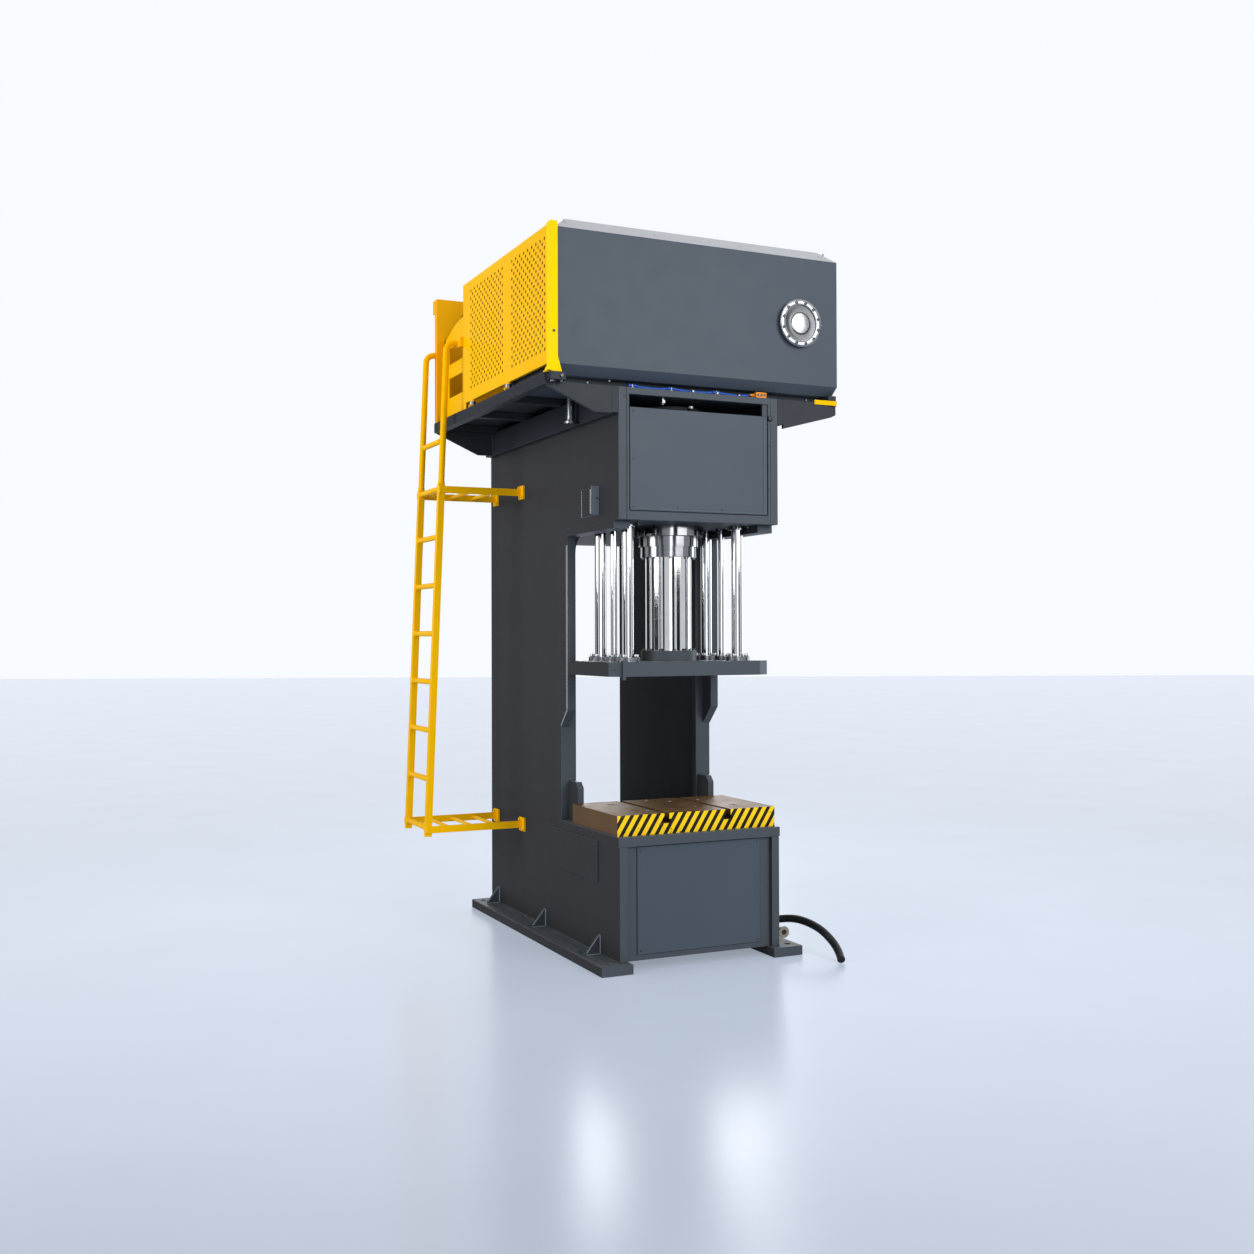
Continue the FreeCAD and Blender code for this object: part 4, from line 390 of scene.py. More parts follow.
@cache
def satin_enamel(name, colour, broad, roughness=0.44, from_side=0.80):
    """Two-part enamel sprayed on blasted steel plate: an even satin colour with a soft
    orange peel, faint clouds from the spray gun and a little dust on faces that look up.
    The broad faces that look sideways are painted darker and less glossy than the fronts: painted shade, as
    the light falls on the fronts."""
    material, tree, place = new_material(name)
    clouds = add_node(tree, "ShaderNodeTexNoise", {"Vector": place, "Scale": per_metre(700), "Detail": 3})
    # Real orange peel is 2 mm wide; it is drawn at 9 mm so that it shows.
    peel = add_node(tree, "ShaderNodeTexNoise", {"Vector": place, "Scale": per_metre(9), "Detail": 2})
    mottle = add_node(tree, "ShaderNodeTexNoise", {"Vector": place, "Scale": per_metre(110), "Detail": 5})
    facing = add_node(tree, "ShaderNodeSeparateXYZ", {
        0: add_node(tree, "ShaderNodeNewGeometry").outputs["Normal"]})
    sideways = add_node(tree, "ShaderNodeMath", {0: facing.outputs["X"]}, operation="ABSOLUTE")
    # Faces that look sideways take the darker colour: painted shade.
    side_shade_share = add_node(tree, "ShaderNodeMapRange", {
        "Value": sideways, "From Min": from_side, "From Max": from_side + 0.15})
    coat = add_node(tree, "ShaderNodeMix", {
        SHARE: side_shade_share, FIRST: colour, SECOND: broad}, data_type="RGBA")
    cloud_share = add_node(tree, "ShaderNodeMapRange", {
        "Value": clouds, **MIDDLE, "To Min": 0.96, "To Max": 1.03})
    clouded = add_node(tree, "ShaderNodeVectorMath", {
        0: coat.outputs[2], "Scale": cloud_share}, operation="SCALE")
    upwards = add_node(tree, "ShaderNodeMapRange", {
        "Value": facing.outputs["Z"], "From Min": 0.6, "From Max": 1.0, "To Max": 0.16})
    dust = add_node(tree, "ShaderNodeMath", {0: upwards, 1: mottle}, operation="MULTIPLY")
    dusty = add_node(tree, "ShaderNodeMix", {
        SHARE: dust, FIRST: clouded, SECOND: hex_colour("9A9C9C")}, data_type="RGBA")
    sheen = add_node(tree, "ShaderNodeMapRange", {
        "Value": mottle, **MIDDLE, "To Min": roughness - 0.03, "To Max": roughness + 0.03})
    relief = add_node(tree, "ShaderNodeBump", {"Height": peel, "Strength": 0.08, "Distance": mm(0.2)})
    gloss = add_node(tree, "ShaderNodeMapRange", {"Value": side_shade_share, "To Min": 0.16, "To Max": 0.012})
    shader = add_node(tree, "ShaderNodeBsdfPrincipled", {
        "Base Color": dusty, "Roughness": sheen, "Normal": relief,
        "IOR": 1.5, "Specular IOR Level": gloss})
    add_node(tree, "ShaderNodeOutputMaterial", {"Surface": shader})
    return material


@cache
def powder_coat(name, colour):
    """Polyester powder coat baked on steel sheet: a full colour under a slightly pebbled
    gloss, faintly dulled where hands and boots rub it."""
    material, tree, place = new_material(name)
    clouds = add_node(tree, "ShaderNodeTexNoise", {"Vector": place, "Scale": per_metre(380), "Detail": 4})
    tall = add_node(tree, "ShaderNodeMapping", {"Vector": place, "Scale": (1, 1, 0.35)})
    rubbed = add_node(tree, "ShaderNodeTexNoise", {"Vector": tall, "Scale": per_metre(45), "Detail": 6})
    # Real powder pebbles are 1 mm wide; they are drawn at 7 mm so that they show.
    pebbles = add_node(tree, "ShaderNodeTexNoise", {"Vector": place, "Scale": per_metre(7), "Detail": 2})
    cloud_share = add_node(tree, "ShaderNodeMapRange", {"Value": clouds, **MIDDLE})
    coat = add_node(tree, "ShaderNodeMix", {
        SHARE: cloud_share, FIRST: shade(colour, 0.95), SECOND: colour}, data_type="RGBA")
    rub_share = add_node(tree, "ShaderNodeMapRange", {
        "Value": rubbed, "From Min": 0.62, "From Max": 0.78, "To Max": 0.15})
    worn = add_node(tree, "ShaderNodeMix", {
        SHARE: rub_share, FIRST: coat, SECOND: shade(colour, 0.74)}, data_type="RGBA")
    sheen = add_node(tree, "ShaderNodeMapRange", {
        "Value": rubbed, **MIDDLE, "To Min": 0.30, "To Max": 0.44})
    relief = add_node(tree, "ShaderNodeBump", {"Height": pebbles, "Strength": 0.12, "Distance": mm(0.2)})
    shader = add_node(tree, "ShaderNodeBsdfPrincipled", {
        "Base Color": worn, "Roughness": sheen, "Normal": relief,
        "IOR": 1.5, "Specular IOR Level": 0.02})
    add_node(tree, "ShaderNodeOutputMaterial", {"Surface": shader})
    return material


@cache
def machined(name, colour, roughness, line_mm, strength, stretch=(1, 1, 1)):
    """Steel with the fine lines of its last cut, which draw its highlights out, and
    patches where oil and handling have dulled it."""
    material, tree, place = new_material(name)
    drawn = add_node(tree, "ShaderNodeMapping", {"Vector": place, "Scale": stretch})
    lines = add_node(tree, "ShaderNodeTexNoise", {
        "Vector": drawn, "Scale": per_metre(line_mm), "Detail": 4})
    patches = add_node(tree, "ShaderNodeTexNoise", {
        "Vector": place, "Scale": per_metre(120), "Detail": 4})
    line_share = add_node(tree, "ShaderNodeMapRange", {"Value": lines, **MIDDLE})
    steel = add_node(tree, "ShaderNodeMix", {
        SHARE: line_share, FIRST: shade(colour, 0.84), SECOND: colour}, data_type="RGBA")
    sheen = add_node(tree, "ShaderNodeMapRange", {
        "Value": patches, **MIDDLE, "To Min": roughness - 0.04, "To Max": roughness + 0.07})
    relief = add_node(tree, "ShaderNodeBump", {
        "Height": lines, "Strength": strength, "Distance": mm(0.15)})
    shader = add_node(tree, "ShaderNodeBsdfPrincipled", {
        "Base Color": steel, "Metallic": 1.0, "Roughness": sheen, "Normal": relief})
    add_node(tree, "ShaderNodeOutputMaterial", {"Surface": shader})
    return material


@cache
def oiled_bolster():
    """Milled tool steel under a brown film of oil, with a hazard-striped front: the oil
    warms and darkens the steel in soft blotches, and the stripes are scuffed paint."""
    oil = paint_of("oil_brown")
    material, tree, place = new_material("oiled_milled_steel")
    # Cutter marks are 1 mm apart; they are drawn at 5 mm so that they show.
    along = add_node(tree, "ShaderNodeMapping", {"Vector": place, "Scale": (0.04, 1, 1)})
    marks = add_node(tree, "ShaderNodeTexNoise", {"Vector": along, "Scale": per_metre(5), "Detail": 4})
    blotches = add_node(tree, "ShaderNodeTexNoise", {
        "Vector": place, "Scale": per_metre(130), "Detail": 5})
    chips = add_node(tree, "ShaderNodeTexNoise", {"Vector": place, "Scale": per_metre(24), "Detail": 6})
    blotch_share = add_node(tree, "ShaderNodeMapRange", {"Value": blotches, **MIDDLE})
    film = add_node(tree, "ShaderNodeMix", {
        SHARE: blotch_share, FIRST: shade(oil, 0.60), SECOND: shade(oil, 1.12)}, data_type="RGBA")
    mark_share = add_node(tree, "ShaderNodeMapRange", {"Value": marks, **MIDDLE, "To Max": 0.4})
    steel = add_node(tree, "ShaderNodeMix", {
        SHARE: mark_share, FIRST: film, SECOND: shade(oil, 0.72)}, data_type="RGBA")
    parts = add_node(tree, "ShaderNodeSeparateXYZ", {0: place})
    lean = add_node(tree, "ShaderNodeMath", {0: parts.outputs["Z"], 1: STRIPE_LEAN}, operation="MULTIPLY")
    run = add_node(tree, "ShaderNodeMath", {0: parts.outputs["X"], 1: lean}, operation="SUBTRACT")
    steps = add_node(tree, "ShaderNodeMath", {0: run, 1: 1 / sizes().stripe_pitch}, operation="MULTIPLY")
    phase = add_node(tree, "ShaderNodeMath", {0: steps}, operation="FRACT")
    stripe = add_node(tree, "ShaderNodeMapRange", {"Value": phase, "From Min": 0.52, "From Max": 0.55})
    striped = add_node(tree, "ShaderNodeMix", {
        SHARE: stripe, FIRST: paint_of("stripe_ground"), SECOND: paint_of("stripe")},
        data_type="RGBA")
    chip_share = add_node(tree, "ShaderNodeMapRange", {
        "Value": chips, "From Min": 0.66, "From Max": 0.72, "To Max": 0.9})
    scuffed = add_node(tree, "ShaderNodeMix", {
        SHARE: chip_share, FIRST: striped, SECOND: shade(oil, 0.9)}, data_type="RGBA")
    # Only faces that look forward, at the bolster's very front, carry the stripes.
    facing = add_node(tree, "ShaderNodeSeparateXYZ", {
        0: add_node(tree, "ShaderNodeNewGeometry").outputs["Normal"]})
    turned = add_node(tree, "ShaderNodeMapRange", {
        "Value": facing.outputs["Y"], "From Min": -0.9, "From Max": -0.8,
        "To Min": 1.0, "To Max": 0.0})
    foremost = add_node(tree, "ShaderNodeMapRange", {
        "Value": parts.outputs["Y"], "From Min": -0.917, "From Max": -0.915,
        "To Min": 1.0, "To Max": 0.0})
    front = add_node(tree, "ShaderNodeMath", {0: turned, 1: foremost}, operation="MULTIPLY")
    colour = add_node(tree, "ShaderNodeMix", {
        SHARE: front, FIRST: steel, SECOND: scuffed}, data_type="RGBA")
    metal = add_node(tree, "ShaderNodeMapRange", {"Value": front, "To Min": 0.30, "To Max": 0.0})
    sheen = add_node(tree, "ShaderNodeMapRange", {
        "Value": blotches, **MIDDLE, "To Min": 0.42, "To Max": 0.58})
    relief = add_node(tree, "ShaderNodeBump", {"Height": marks, "Strength": 0.2, "Distance": mm(0.2)})
    shader = add_node(tree, "ShaderNodeBsdfPrincipled", {
        "Base Color": colour, "Metallic": metal, "Roughness": sheen, "Normal": relief,
        "Specular IOR Level": 0.12})
    add_node(tree, "ShaderNodeOutputMaterial", {"Surface": shader})
    return material


@cache
def hard_chrome():
    """Hard chrome, ground and polished on steel rod: a near mirror with faint grinding
    rings, so that it shows plates and surroundings as upright bands."""
    material, tree, place = new_material("hard_chrome_plate")
    colour = hex_colour("C6C7C9")
    flat = add_node(tree, "ShaderNodeMapping", {"Vector": place, "Scale": (0.05, 0.05, 1)})
    rings = add_node(tree, "ShaderNodeTexNoise", {"Vector": flat, "Scale": per_metre(6), "Detail": 2})
    haze = add_node(tree, "ShaderNodeTexNoise", {"Vector": place, "Scale": per_metre(70), "Detail": 4})
    haze_share = add_node(tree, "ShaderNodeMapRange", {"Value": haze, **MIDDLE})
    plated = add_node(tree, "ShaderNodeMix", {
        SHARE: haze_share, FIRST: shade(colour, 0.92), SECOND: colour}, data_type="RGBA")
    sheen = add_node(tree, "ShaderNodeMapRange", {
        "Value": rings, **MIDDLE, "To Min": 0.05, "To Max": 0.11})
    relief = add_node(tree, "ShaderNodeBump", {"Height": rings, "Strength": 0.01, "Distance": mm(0.1)})
    shader = add_node(tree, "ShaderNodeBsdfPrincipled", {
        "Base Color": plated, "Metallic": 1.0, "Roughness": sheen, "Normal": relief})
    add_node(tree, "ShaderNodeOutputMaterial", {"Surface": shader})
    return material


@cache
def faced_stainless():
    """Stainless steel faced on a lathe: rings round its centre, which spread each
    highlight into two bright fans."""
    material, tree, place = new_material("faced_stainless_steel")
    colour = hex_colour("A2A4A7")
    low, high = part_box("manhole_flange")
    centre = low.lerp(high, 0.5)
    local = add_node(tree, "ShaderNodeMapping", {"Vector": place, "Location": (-centre.x, 0, -centre.z)})
    flat = add_node(tree, "ShaderNodeVectorMath", {0: local, 1: (1, 0, 1)}, operation="MULTIPLY")
    reach = add_node(tree, "ShaderNodeVectorMath", {0: flat}, operation="LENGTH")
    # Facing rings are 0.3 mm apart; they are drawn at 5 mm so that they show.
    turns = add_node(tree, "ShaderNodeMath", {
        0: reach.outputs["Value"], 1: math.tau * per_metre(5)}, operation="MULTIPLY")
    grooves = add_node(tree, "ShaderNodeMath", {0: turns}, operation="SINE")
    haze = add_node(tree, "ShaderNodeTexNoise", {"Vector": place, "Scale": per_metre(40), "Detail": 5})
    haze_share = add_node(tree, "ShaderNodeMapRange", {"Value": haze, **MIDDLE})
    steel = add_node(tree, "ShaderNodeMix", {
        SHARE: haze_share, FIRST: shade(colour, 0.82), SECOND: colour}, data_type="RGBA")
    # The dished ring between the cover's middle and its rim is painted darkest: painted shade for the dark
    # reflection in the dish.
    beyond = add_node(tree, "ShaderNodeMapRange", {
        "Value": reach.outputs["Value"], "From Min": 0.050, "From Max": 0.060})
    within = add_node(tree, "ShaderNodeMapRange", {
        "Value": reach.outputs["Value"], "From Min": 0.091, "From Max": 0.094,
        "To Min": 1.0, "To Max": 0.0})
    dish_shade = add_node(tree, "ShaderNodeMath", {0: beyond, 1: within}, operation="MULTIPLY")
    steel = add_node(tree, "ShaderNodeMix", {
        SHARE: dish_shade, FIRST: steel, SECOND: shade(colour, 0.22)}, data_type="RGBA")
    sheen = add_node(tree, "ShaderNodeMapRange", {
        "Value": haze, **MIDDLE, "To Min": 0.20, "To Max": 0.32})
    relief = add_node(tree, "ShaderNodeBump", {"Height": grooves, "Strength": 0.10, "Distance": mm(0.12)})
    around = add_node(tree, "ShaderNodeTangent", direction_type="RADIAL", axis="Y")
    shader = add_node(tree, "ShaderNodeBsdfPrincipled", {
        "Base Color": steel, "Metallic": 1.0, "Roughness": sheen, "Normal": relief,
        "Anisotropic": 0.7, "Tangent": around})
    add_node(tree, "ShaderNodeOutputMaterial", {"Surface": shader})
    return material


@cache
def sand_casting(name, colour, roughness, grain_mm, depth_mm, metallic=0.0):
    """A sand casting: grain under its coat, which keeps its highlights broad and broken."""
    material, tree, place = new_material(name)
    grain = add_node(tree, "ShaderNodeTexNoise", {
        "Vector": place, "Scale": per_metre(grain_mm), "Detail": 5})
    clouds = add_node(tree, "ShaderNodeTexNoise", {"Vector": place, "Scale": per_metre(60), "Detail": 4})
    cloud_share = add_node(tree, "ShaderNodeMapRange", {"Value": clouds, **MIDDLE})
    coat = add_node(tree, "ShaderNodeMix", {
        SHARE: cloud_share, FIRST: shade(colour, 0.88), SECOND: shade(colour, 1.06)},
        data_type="RGBA")
    sheen = add_node(tree, "ShaderNodeMapRange", {
        "Value": grain, **MIDDLE, "To Min": roughness - 0.08, "To Max": roughness + 0.10})
    relief = add_node(tree, "ShaderNodeBump", {
        "Height": grain, "Strength": 0.35, "Distance": mm(depth_mm)})
    shader = add_node(tree, "ShaderNodeBsdfPrincipled", {
        "Base Color": coat, "Metallic": metallic, "Roughness": sheen, "Normal": relief,
        "Specular IOR Level": 0.35})
    add_node(tree, "ShaderNodeOutputMaterial", {"Surface": shader})
    return material


@cache
def moulded(name, colour, roughness):
    """Moulded plastic or rubber: an even colour with a faint bloom and mould texture."""
    material, tree, place = new_material(name)
    bloom = add_node(tree, "ShaderNodeTexNoise", {"Vector": place, "Scale": per_metre(35), "Detail": 5})
    texture = add_node(tree, "ShaderNodeTexNoise", {"Vector": place, "Scale": per_metre(3), "Detail": 3})
    bloom_share = add_node(tree, "ShaderNodeMapRange", {"Value": bloom, **MIDDLE})
    resin = add_node(tree, "ShaderNodeMix", {
        SHARE: bloom_share, FIRST: shade(colour, 0.85), SECOND: colour}, data_type="RGBA")
    sheen = add_node(tree, "ShaderNodeMapRange", {
        "Value": bloom, **MIDDLE, "To Min": roughness - 0.06, "To Max": roughness + 0.10})
    relief = add_node(tree, "ShaderNodeBump", {"Height": texture, "Strength": 0.15, "Distance": mm(0.1)})
    shader = add_node(tree, "ShaderNodeBsdfPrincipled", {
        "Base Color": resin, "Roughness": sheen, "Normal": relief,
        "IOR": 1.5, "Specular IOR Level": 0.25})
    add_node(tree, "ShaderNodeOutputMaterial", {"Surface": shader})
    return material


# Stretches of a cut's lines: round a turned piece, and along a drawn one.
TURNED = (0.05, 0.05, 1)
DRAWN = (1, 1, 0.03)


def finish_of(slot):
    """The finish for one of the record's material slots."""
    broad = paint_of("broad_face_shade")
    deck = paint_of("deck")
    finish, *values = {
        "frame_paint": (satin_enamel, "structure_satin_enamel", paint_of("structure"), broad),
        "cover_paint": (satin_enamel, "cover_satin_enamel", paint_of("cover"), broad, 0.40),
        "deck_paint": (satin_enamel, "deck_satin_enamel", deck, deck, 0.48),
        "lid_steel": (satin_enamel, "lid_silver_enamel", paint_of("lid"), paint_of("lid_end_shade"), 0.34, 0.45),
        "oiled_steel": (oiled_bolster,),
        "bright_steel": (machined, "zinc_plated_steel", hex_colour("7A7C80"), 0.28, 3, 0.15),
        "turned_steel": (machined, "turned_blackened_steel", hex_colour("7C7E82"), 0.13, 6, 0.12, TURNED),
        "chrome": (hard_chrome,),
        "stainless": (faced_stainless,),
        "yellow_paint": (powder_coat, "yellow_powder_coat", paint_of("safety")),
        "motor_paint": (sand_casting, "motor_casting_enamel", hex_colour("5B646D"), 0.42, 8, 0.3),
        "pump_iron": (sand_casting, "cast_iron_enamel", hex_colour("3A3E43"), 0.5, 6, 0.5),
        "pipe_steel": (machined, "drawn_steel_tube", hex_colour("8B8E92"), 0.3, 8, 0.12, DRAWN),
        "blue_plastic": (moulded, "blue_polyurethane", paint_of("air"), 0.28),
        "orange_plastic": (moulded, "orange_moulded_nylon", paint_of("clamp"), 0.38),
        "black_rubber": (moulded, "black_hose_rubber", paint_of("hose"), 0.34),
        "grey_fitting": (sand_casting, "cast_zinc_fitting", hex_colour("948E80"), 0.40, 5, 0.3, 0.35),
    }[slot]
    return finish(*values)


def dark_screw():
    """Black-oxide steel: a near black skin with a dull metal shine on its edges."""
    return machined("black_oxide_steel", hex_colour("4A4C50"), 0.34, 3, 0.12)


def bright_edge_highlight():
    """Bright steel strips along edges: painted highlight, and on the rails partly ground steel that the
    slide keeps bright.
    """
    return machined("ground_bright_steel", hex_colour("8E9195"), 0.28, 5, 0.10, DRAWN)


# ---------------------------------------------------------------- steelwork

# Nodes of thick plate, and nodes of sheet, whose edges are broken.
PLATE_NODES = (
    "left_side_plate", "right_side_plate", "left_foot_plate", "right_foot_plate",
    "throat_flanges", "guide_rails", "bed_top_plate", "bed_cheek_plates", "throat_brackets",
    "bolster_plate", "head_front_frame", "side_beams", "platen",
    "deck_frame", "deck_brackets", "foot_gussets")
SHEET_NODES = (
    "base_front_frame", "base_cover_panel", "head_cover_panel", "oil_tank", "tank_lid",
    "guard_corner_post", "rear_guard", "right_guard", "clamp_strip",
    "deck_plate", "guard_sockets")


# Pieces of the head and roof that wear the roof frame's darker enamel as painted shade, for the shade
# beneath them.
SHADED_NODES = ("deck_brackets", "side_beams", "head_bottom_plate")


class PRESS_OT_steelwork(bpy.types.Operator):
    """Give every node of the press its finish and break the edges of its plates"""
    bl_idname = "press.steelwork"
    bl_label = "Steelwork finishes"

    def execute(self, context):
        slots = {part["node"]: part["material_slot"] for part in frame["record"]["subparts"]}
        for node, made in frame["nodes"].items():
            material = finish_of("deck_paint" if node in SHADED_NODES else slots[node])
            if node == "guard_corner_post":
                material = powder_coat("bright_yellow_powder_coat", paint_of("post"))
            # The rear guard wears the deeper yellow: painted shade.
            elif node == "rear_guard":
                material = powder_coat("deep_yellow_powder_coat", paint_of("rear_guard_shade"))
            if made.data.materials:
                for index in range(len(made.data.materials)):
                    made.data.materials[index] = material
            else:
                made.data.materials.append(material)
            if node in PLATE_NODES:
                breaking(made, sizes().edge)
            elif node in SHEET_NODES:
                breaking(made, sizes().sheet_edge)
        return {"FINISHED"}


# The hose's route in metres: straight out of its gland, over and down to the floor.
HOSE_ROUTE = (
    (0.490, -0.771, 0.150), (0.542, -0.795, 0.154), (0.614, -0.854, 0.166),
    (0.663, -0.931, 0.152), (0.682, -1.051, 0.125), (0.692, -1.175, 0.056),
    (0.655, -1.255, 0.020),
)


class PRESS_OT_hose(bpy.types.Operator):
    """Lay the free hose, its gland and the cut end on the floor"""
    bl_idname = "press.hose"
    bl_label = "Hose"

    def execute(self, context):
        radius = sizes().hose_radius
        curve = bpy.data.curves.new("free_hose", "CURVE")
        curve.dimensions = "3D"
        spline = curve.splines.new("NURBS")
        spline.points.add(len(HOSE_ROUTE) - 1)
        for point, (x, y, z) in zip(spline.points, HOSE_ROUTE):
            point.co = (x, y, z, 1)
        spline.order_u = 3
        spline.use_endpoint_u = True
        spline.resolution_u = 24
        curve.bevel_depth = radius
        curve.bevel_resolution = 6
        curve.use_fill_caps = True
        curve.materials.append(finish_of("black_rubber"))
        hose = bpy.data.objects.new("free_hose", curve)
        context.scene.collection.objects.link(hose)
        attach(hose, "frame")
        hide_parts("conduit_hose")
        start, after = Vector(HOSE_ROUTE[0]), Vector(HOSE_ROUTE[1])
        lead = (after - start).normalized()
        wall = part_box("right_side_plate")[1].x
        root = start - lead * ((start.x - wall) / lead.x)
        bm = bmesh.new()
        reach = (start - root).length
        turn(bm, Vector((wall, root.y, root.z)), X,
             [(mm(35), 0), (mm(35), mm(5)), (mm(32), mm(7)), (mm(29), mm(7.5))], 32)
        loft(bm, [hex_ring(root + lead * mm(12), lead, mm(54)),
                  hex_ring(root + lead * reach * 0.7, lead, mm(54)),
                  ring(root + lead * reach * 0.82, lead, mm(27), 24),
                  ring(root + lead * reach, lead, radius + mm(2), 24)])
        piece("hose_gland_nut", bm, "frame", "black_rubber", replaces=("hose_gland",))
        return {"FINISHED"}


# ---------------------------------------------------------------- guards

# The guard in metres: its outer face, its edges, and each hole field's start and columns.
GUARD_FACE, GUARD_REAR, GUARD_BOTTOM, GUARD_TOP = -0.838, 0.376, 3.039, 3.725
GUARD_FIELDS = ((-0.898, 9), (-0.285, 10))
GUARD_FIELD_Z, GUARD_ROWS = 3.115, 13


def guard_holes():
    """Outlines of the guard's perforations: two fields of staggered holes."""
    pitch_y, pitch_z, radius = sizes().hole_pitch_y, sizes().hole_pitch_z, sizes().hole_radius
    holes = []
    for field_y, columns in GUARD_FIELDS:
        for shift in (0, 1):
            for column in range(columns - shift):
                for row in range(GUARD_ROWS - shift):
                    y = field_y + pitch_y * (column + shift / 2)
                    z = GUARD_FIELD_Z + pitch_z * (row + shift / 2)
                    holes.append([(y + radius * math.cos(a), z + radius * math.sin(a))
                                  for a in (math.tau * n / 10 for n in range(10))])
    return holes


class PRESS_OT_left_guard(bpy.types.Operator):
    """Make the left guard: a perforated sheet with ribs, a rear post, tabs, and a dark sheet behind the
    holes that paints the shade seen through them
    """
    bl_idname = "press.left_guard"
    bl_label = "Perforated guard"

    def execute(self, context):
        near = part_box("left_guard")[0].y
        inner = GUARD_FACE + mm(3)
        bm = bmesh.new()
        holed_sheet(bm, [(near, GUARD_BOTTOM), (GUARD_REAR, GUARD_BOTTOM), (GUARD_REAR, GUARD_TOP),
                         (near, GUARD_TOP)], guard_holes(),
                    lambda a, b: Vector((GUARD_FACE, a, b)), X * mm(3))
        piece("perforated_guard_sheet", bm, "frame", "yellow_paint", replaces=("left_guard",))
        bm = bmesh.new()
        post_front = GUARD_REAR - mm(26)
        soft_box(bm, (inner, post_front, 2.990), (inner + mm(18), GUARD_REAR + mm(8), GUARD_TOP), mm(2))
        for low_z in (GUARD_BOTTOM, GUARD_TOP - mm(18)):
            soft_box(bm, (inner, near + mm(4), low_z), (inner + mm(16), post_front, low_z + mm(18)),
                     mm(1.5), "y")
        (front_field, columns), (rear_field, _) = GUARD_FIELDS
        middle = (front_field + (columns - 1) * sizes().hole_pitch_y + rear_field) / 2
        soft_box(bm, (inner, middle - mm(15), GUARD_BOTTOM + mm(18)),
                 (inner + mm(12), middle + mm(15), GUARD_TOP - mm(18)), mm(1.5))
        soft_box(bm, (GUARD_FACE, 0.329, 2.978), (inner, GUARD_REAR, GUARD_BOTTOM + mm(1)), mm(0.8), "x")
        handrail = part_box("ladder_rails")[1]
        tab_z = 3.372
        soft_box(bm, (handrail.x - mm(2), post_front + mm(20), tab_z),
                 (inner + mm(4), 0.452, tab_z + mm(56)), mm(2), "x")
        piece("guard_post_and_ribs", bm, "frame", "yellow_paint")
        # A near black sheet behind the rear holes: painted shade seen through them.
        tank_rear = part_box("oil_tank")[1].y
        bm = bmesh.new()
        soft_box(bm, (inner + mm(28), tank_rear + mm(6), 3.060), (inner + mm(31), post_front, 3.700),
                 mm(0.8))
        piece("guard_liner", bm, "frame", "deck_paint",
              moulded("black_liner_felt", hex_colour("17130B"), 0.8))
        return {"FINISHED"}


class PRESS_OT_corner_fittings(bpy.types.Operator):
    """Fit the corner post's splayed foot and its bolts"""
    bl_idname = "press.corner_fittings"
    bl_label = "Corner post fittings"

    def execute(self, context):
        coat = powder_coat("bright_yellow_powder_coat", paint_of("post"))
        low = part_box("guard_corner_post")[0]
        bm = bmesh.new()
        foot = low.z
        claw = [Vector((low.x - mm(12) + mm(17) * math.cos(a), low.y, foot + mm(26) * math.sin(a)))
                for a in (math.pi * n / 8 for n in range(9))]
        prism(bm, claw, Y * mm(6))
        soft_box(bm, (low.x - mm(20), low.y, foot), (low.x + mm(6), low.y + mm(52), foot + mm(7)), mm(1))
        piece("corner_post_foot", bm, "frame", "yellow_paint", coat)
        bm = bmesh.new()
        pan_screw(bm, Vector((low.x + mm(18), low.y, 3.19)), -Y, mm(7), mm(4))
        for x in (mm(-13), mm(50)):
            hexagon_bolt(bm, Vector((low.x + x, low.y + mm(20), foot + mm(7 if x < 0 else 0))), Z,
                         mm(13), mm(8))
        piece("corner_post_bolts", bm, "frame", "bright_steel", dark_screw())
        return {"FINISHED"}


# Places of the socket pins along the guard, in metres.
SOCKETS_Y = (-0.384, 0.200)


class PRESS_OT_sockets(bpy.types.Operator):
    """Fit steel sleeves and foot bolts to the guard's socket pins"""
    bl_idname = "press.sockets"
    bl_label = "Guard sockets"

    def execute(self, context):
        bm = bmesh.new()
        for y in SOCKETS_Y:
            base = Vector((-0.841, y, 3.006))
            turn(bm, base, Z, [(mm(14.5), 0), (mm(18.5), 0), (mm(18.5), mm(18)), (mm(17), mm(20)),
                               (mm(14.5), mm(20))], 28, loop=True)
        piece("socket_sleeves", bm, "frame", "bright_steel")
        bm = bmesh.new()
        for y in SOCKETS_Y:
            for shift in (-mm(14), mm(14)):
                hexagon_bolt(bm, Vector((-0.8605, y + shift, 2.998)), -X, mm(8), mm(4), False)
        piece("socket_bolts", bm, "frame", "bright_steel", dark_screw())
        return {"FINISHED"}


# The gate's two windows in metres: front and rear edges, and each one's bottom and top.
GATE_WINDOW_FRONT, GATE_WINDOW_REAR = 0.462, 0.722
GATE_WINDOWS = ((3.125, 3.244), (3.325, 3.424))


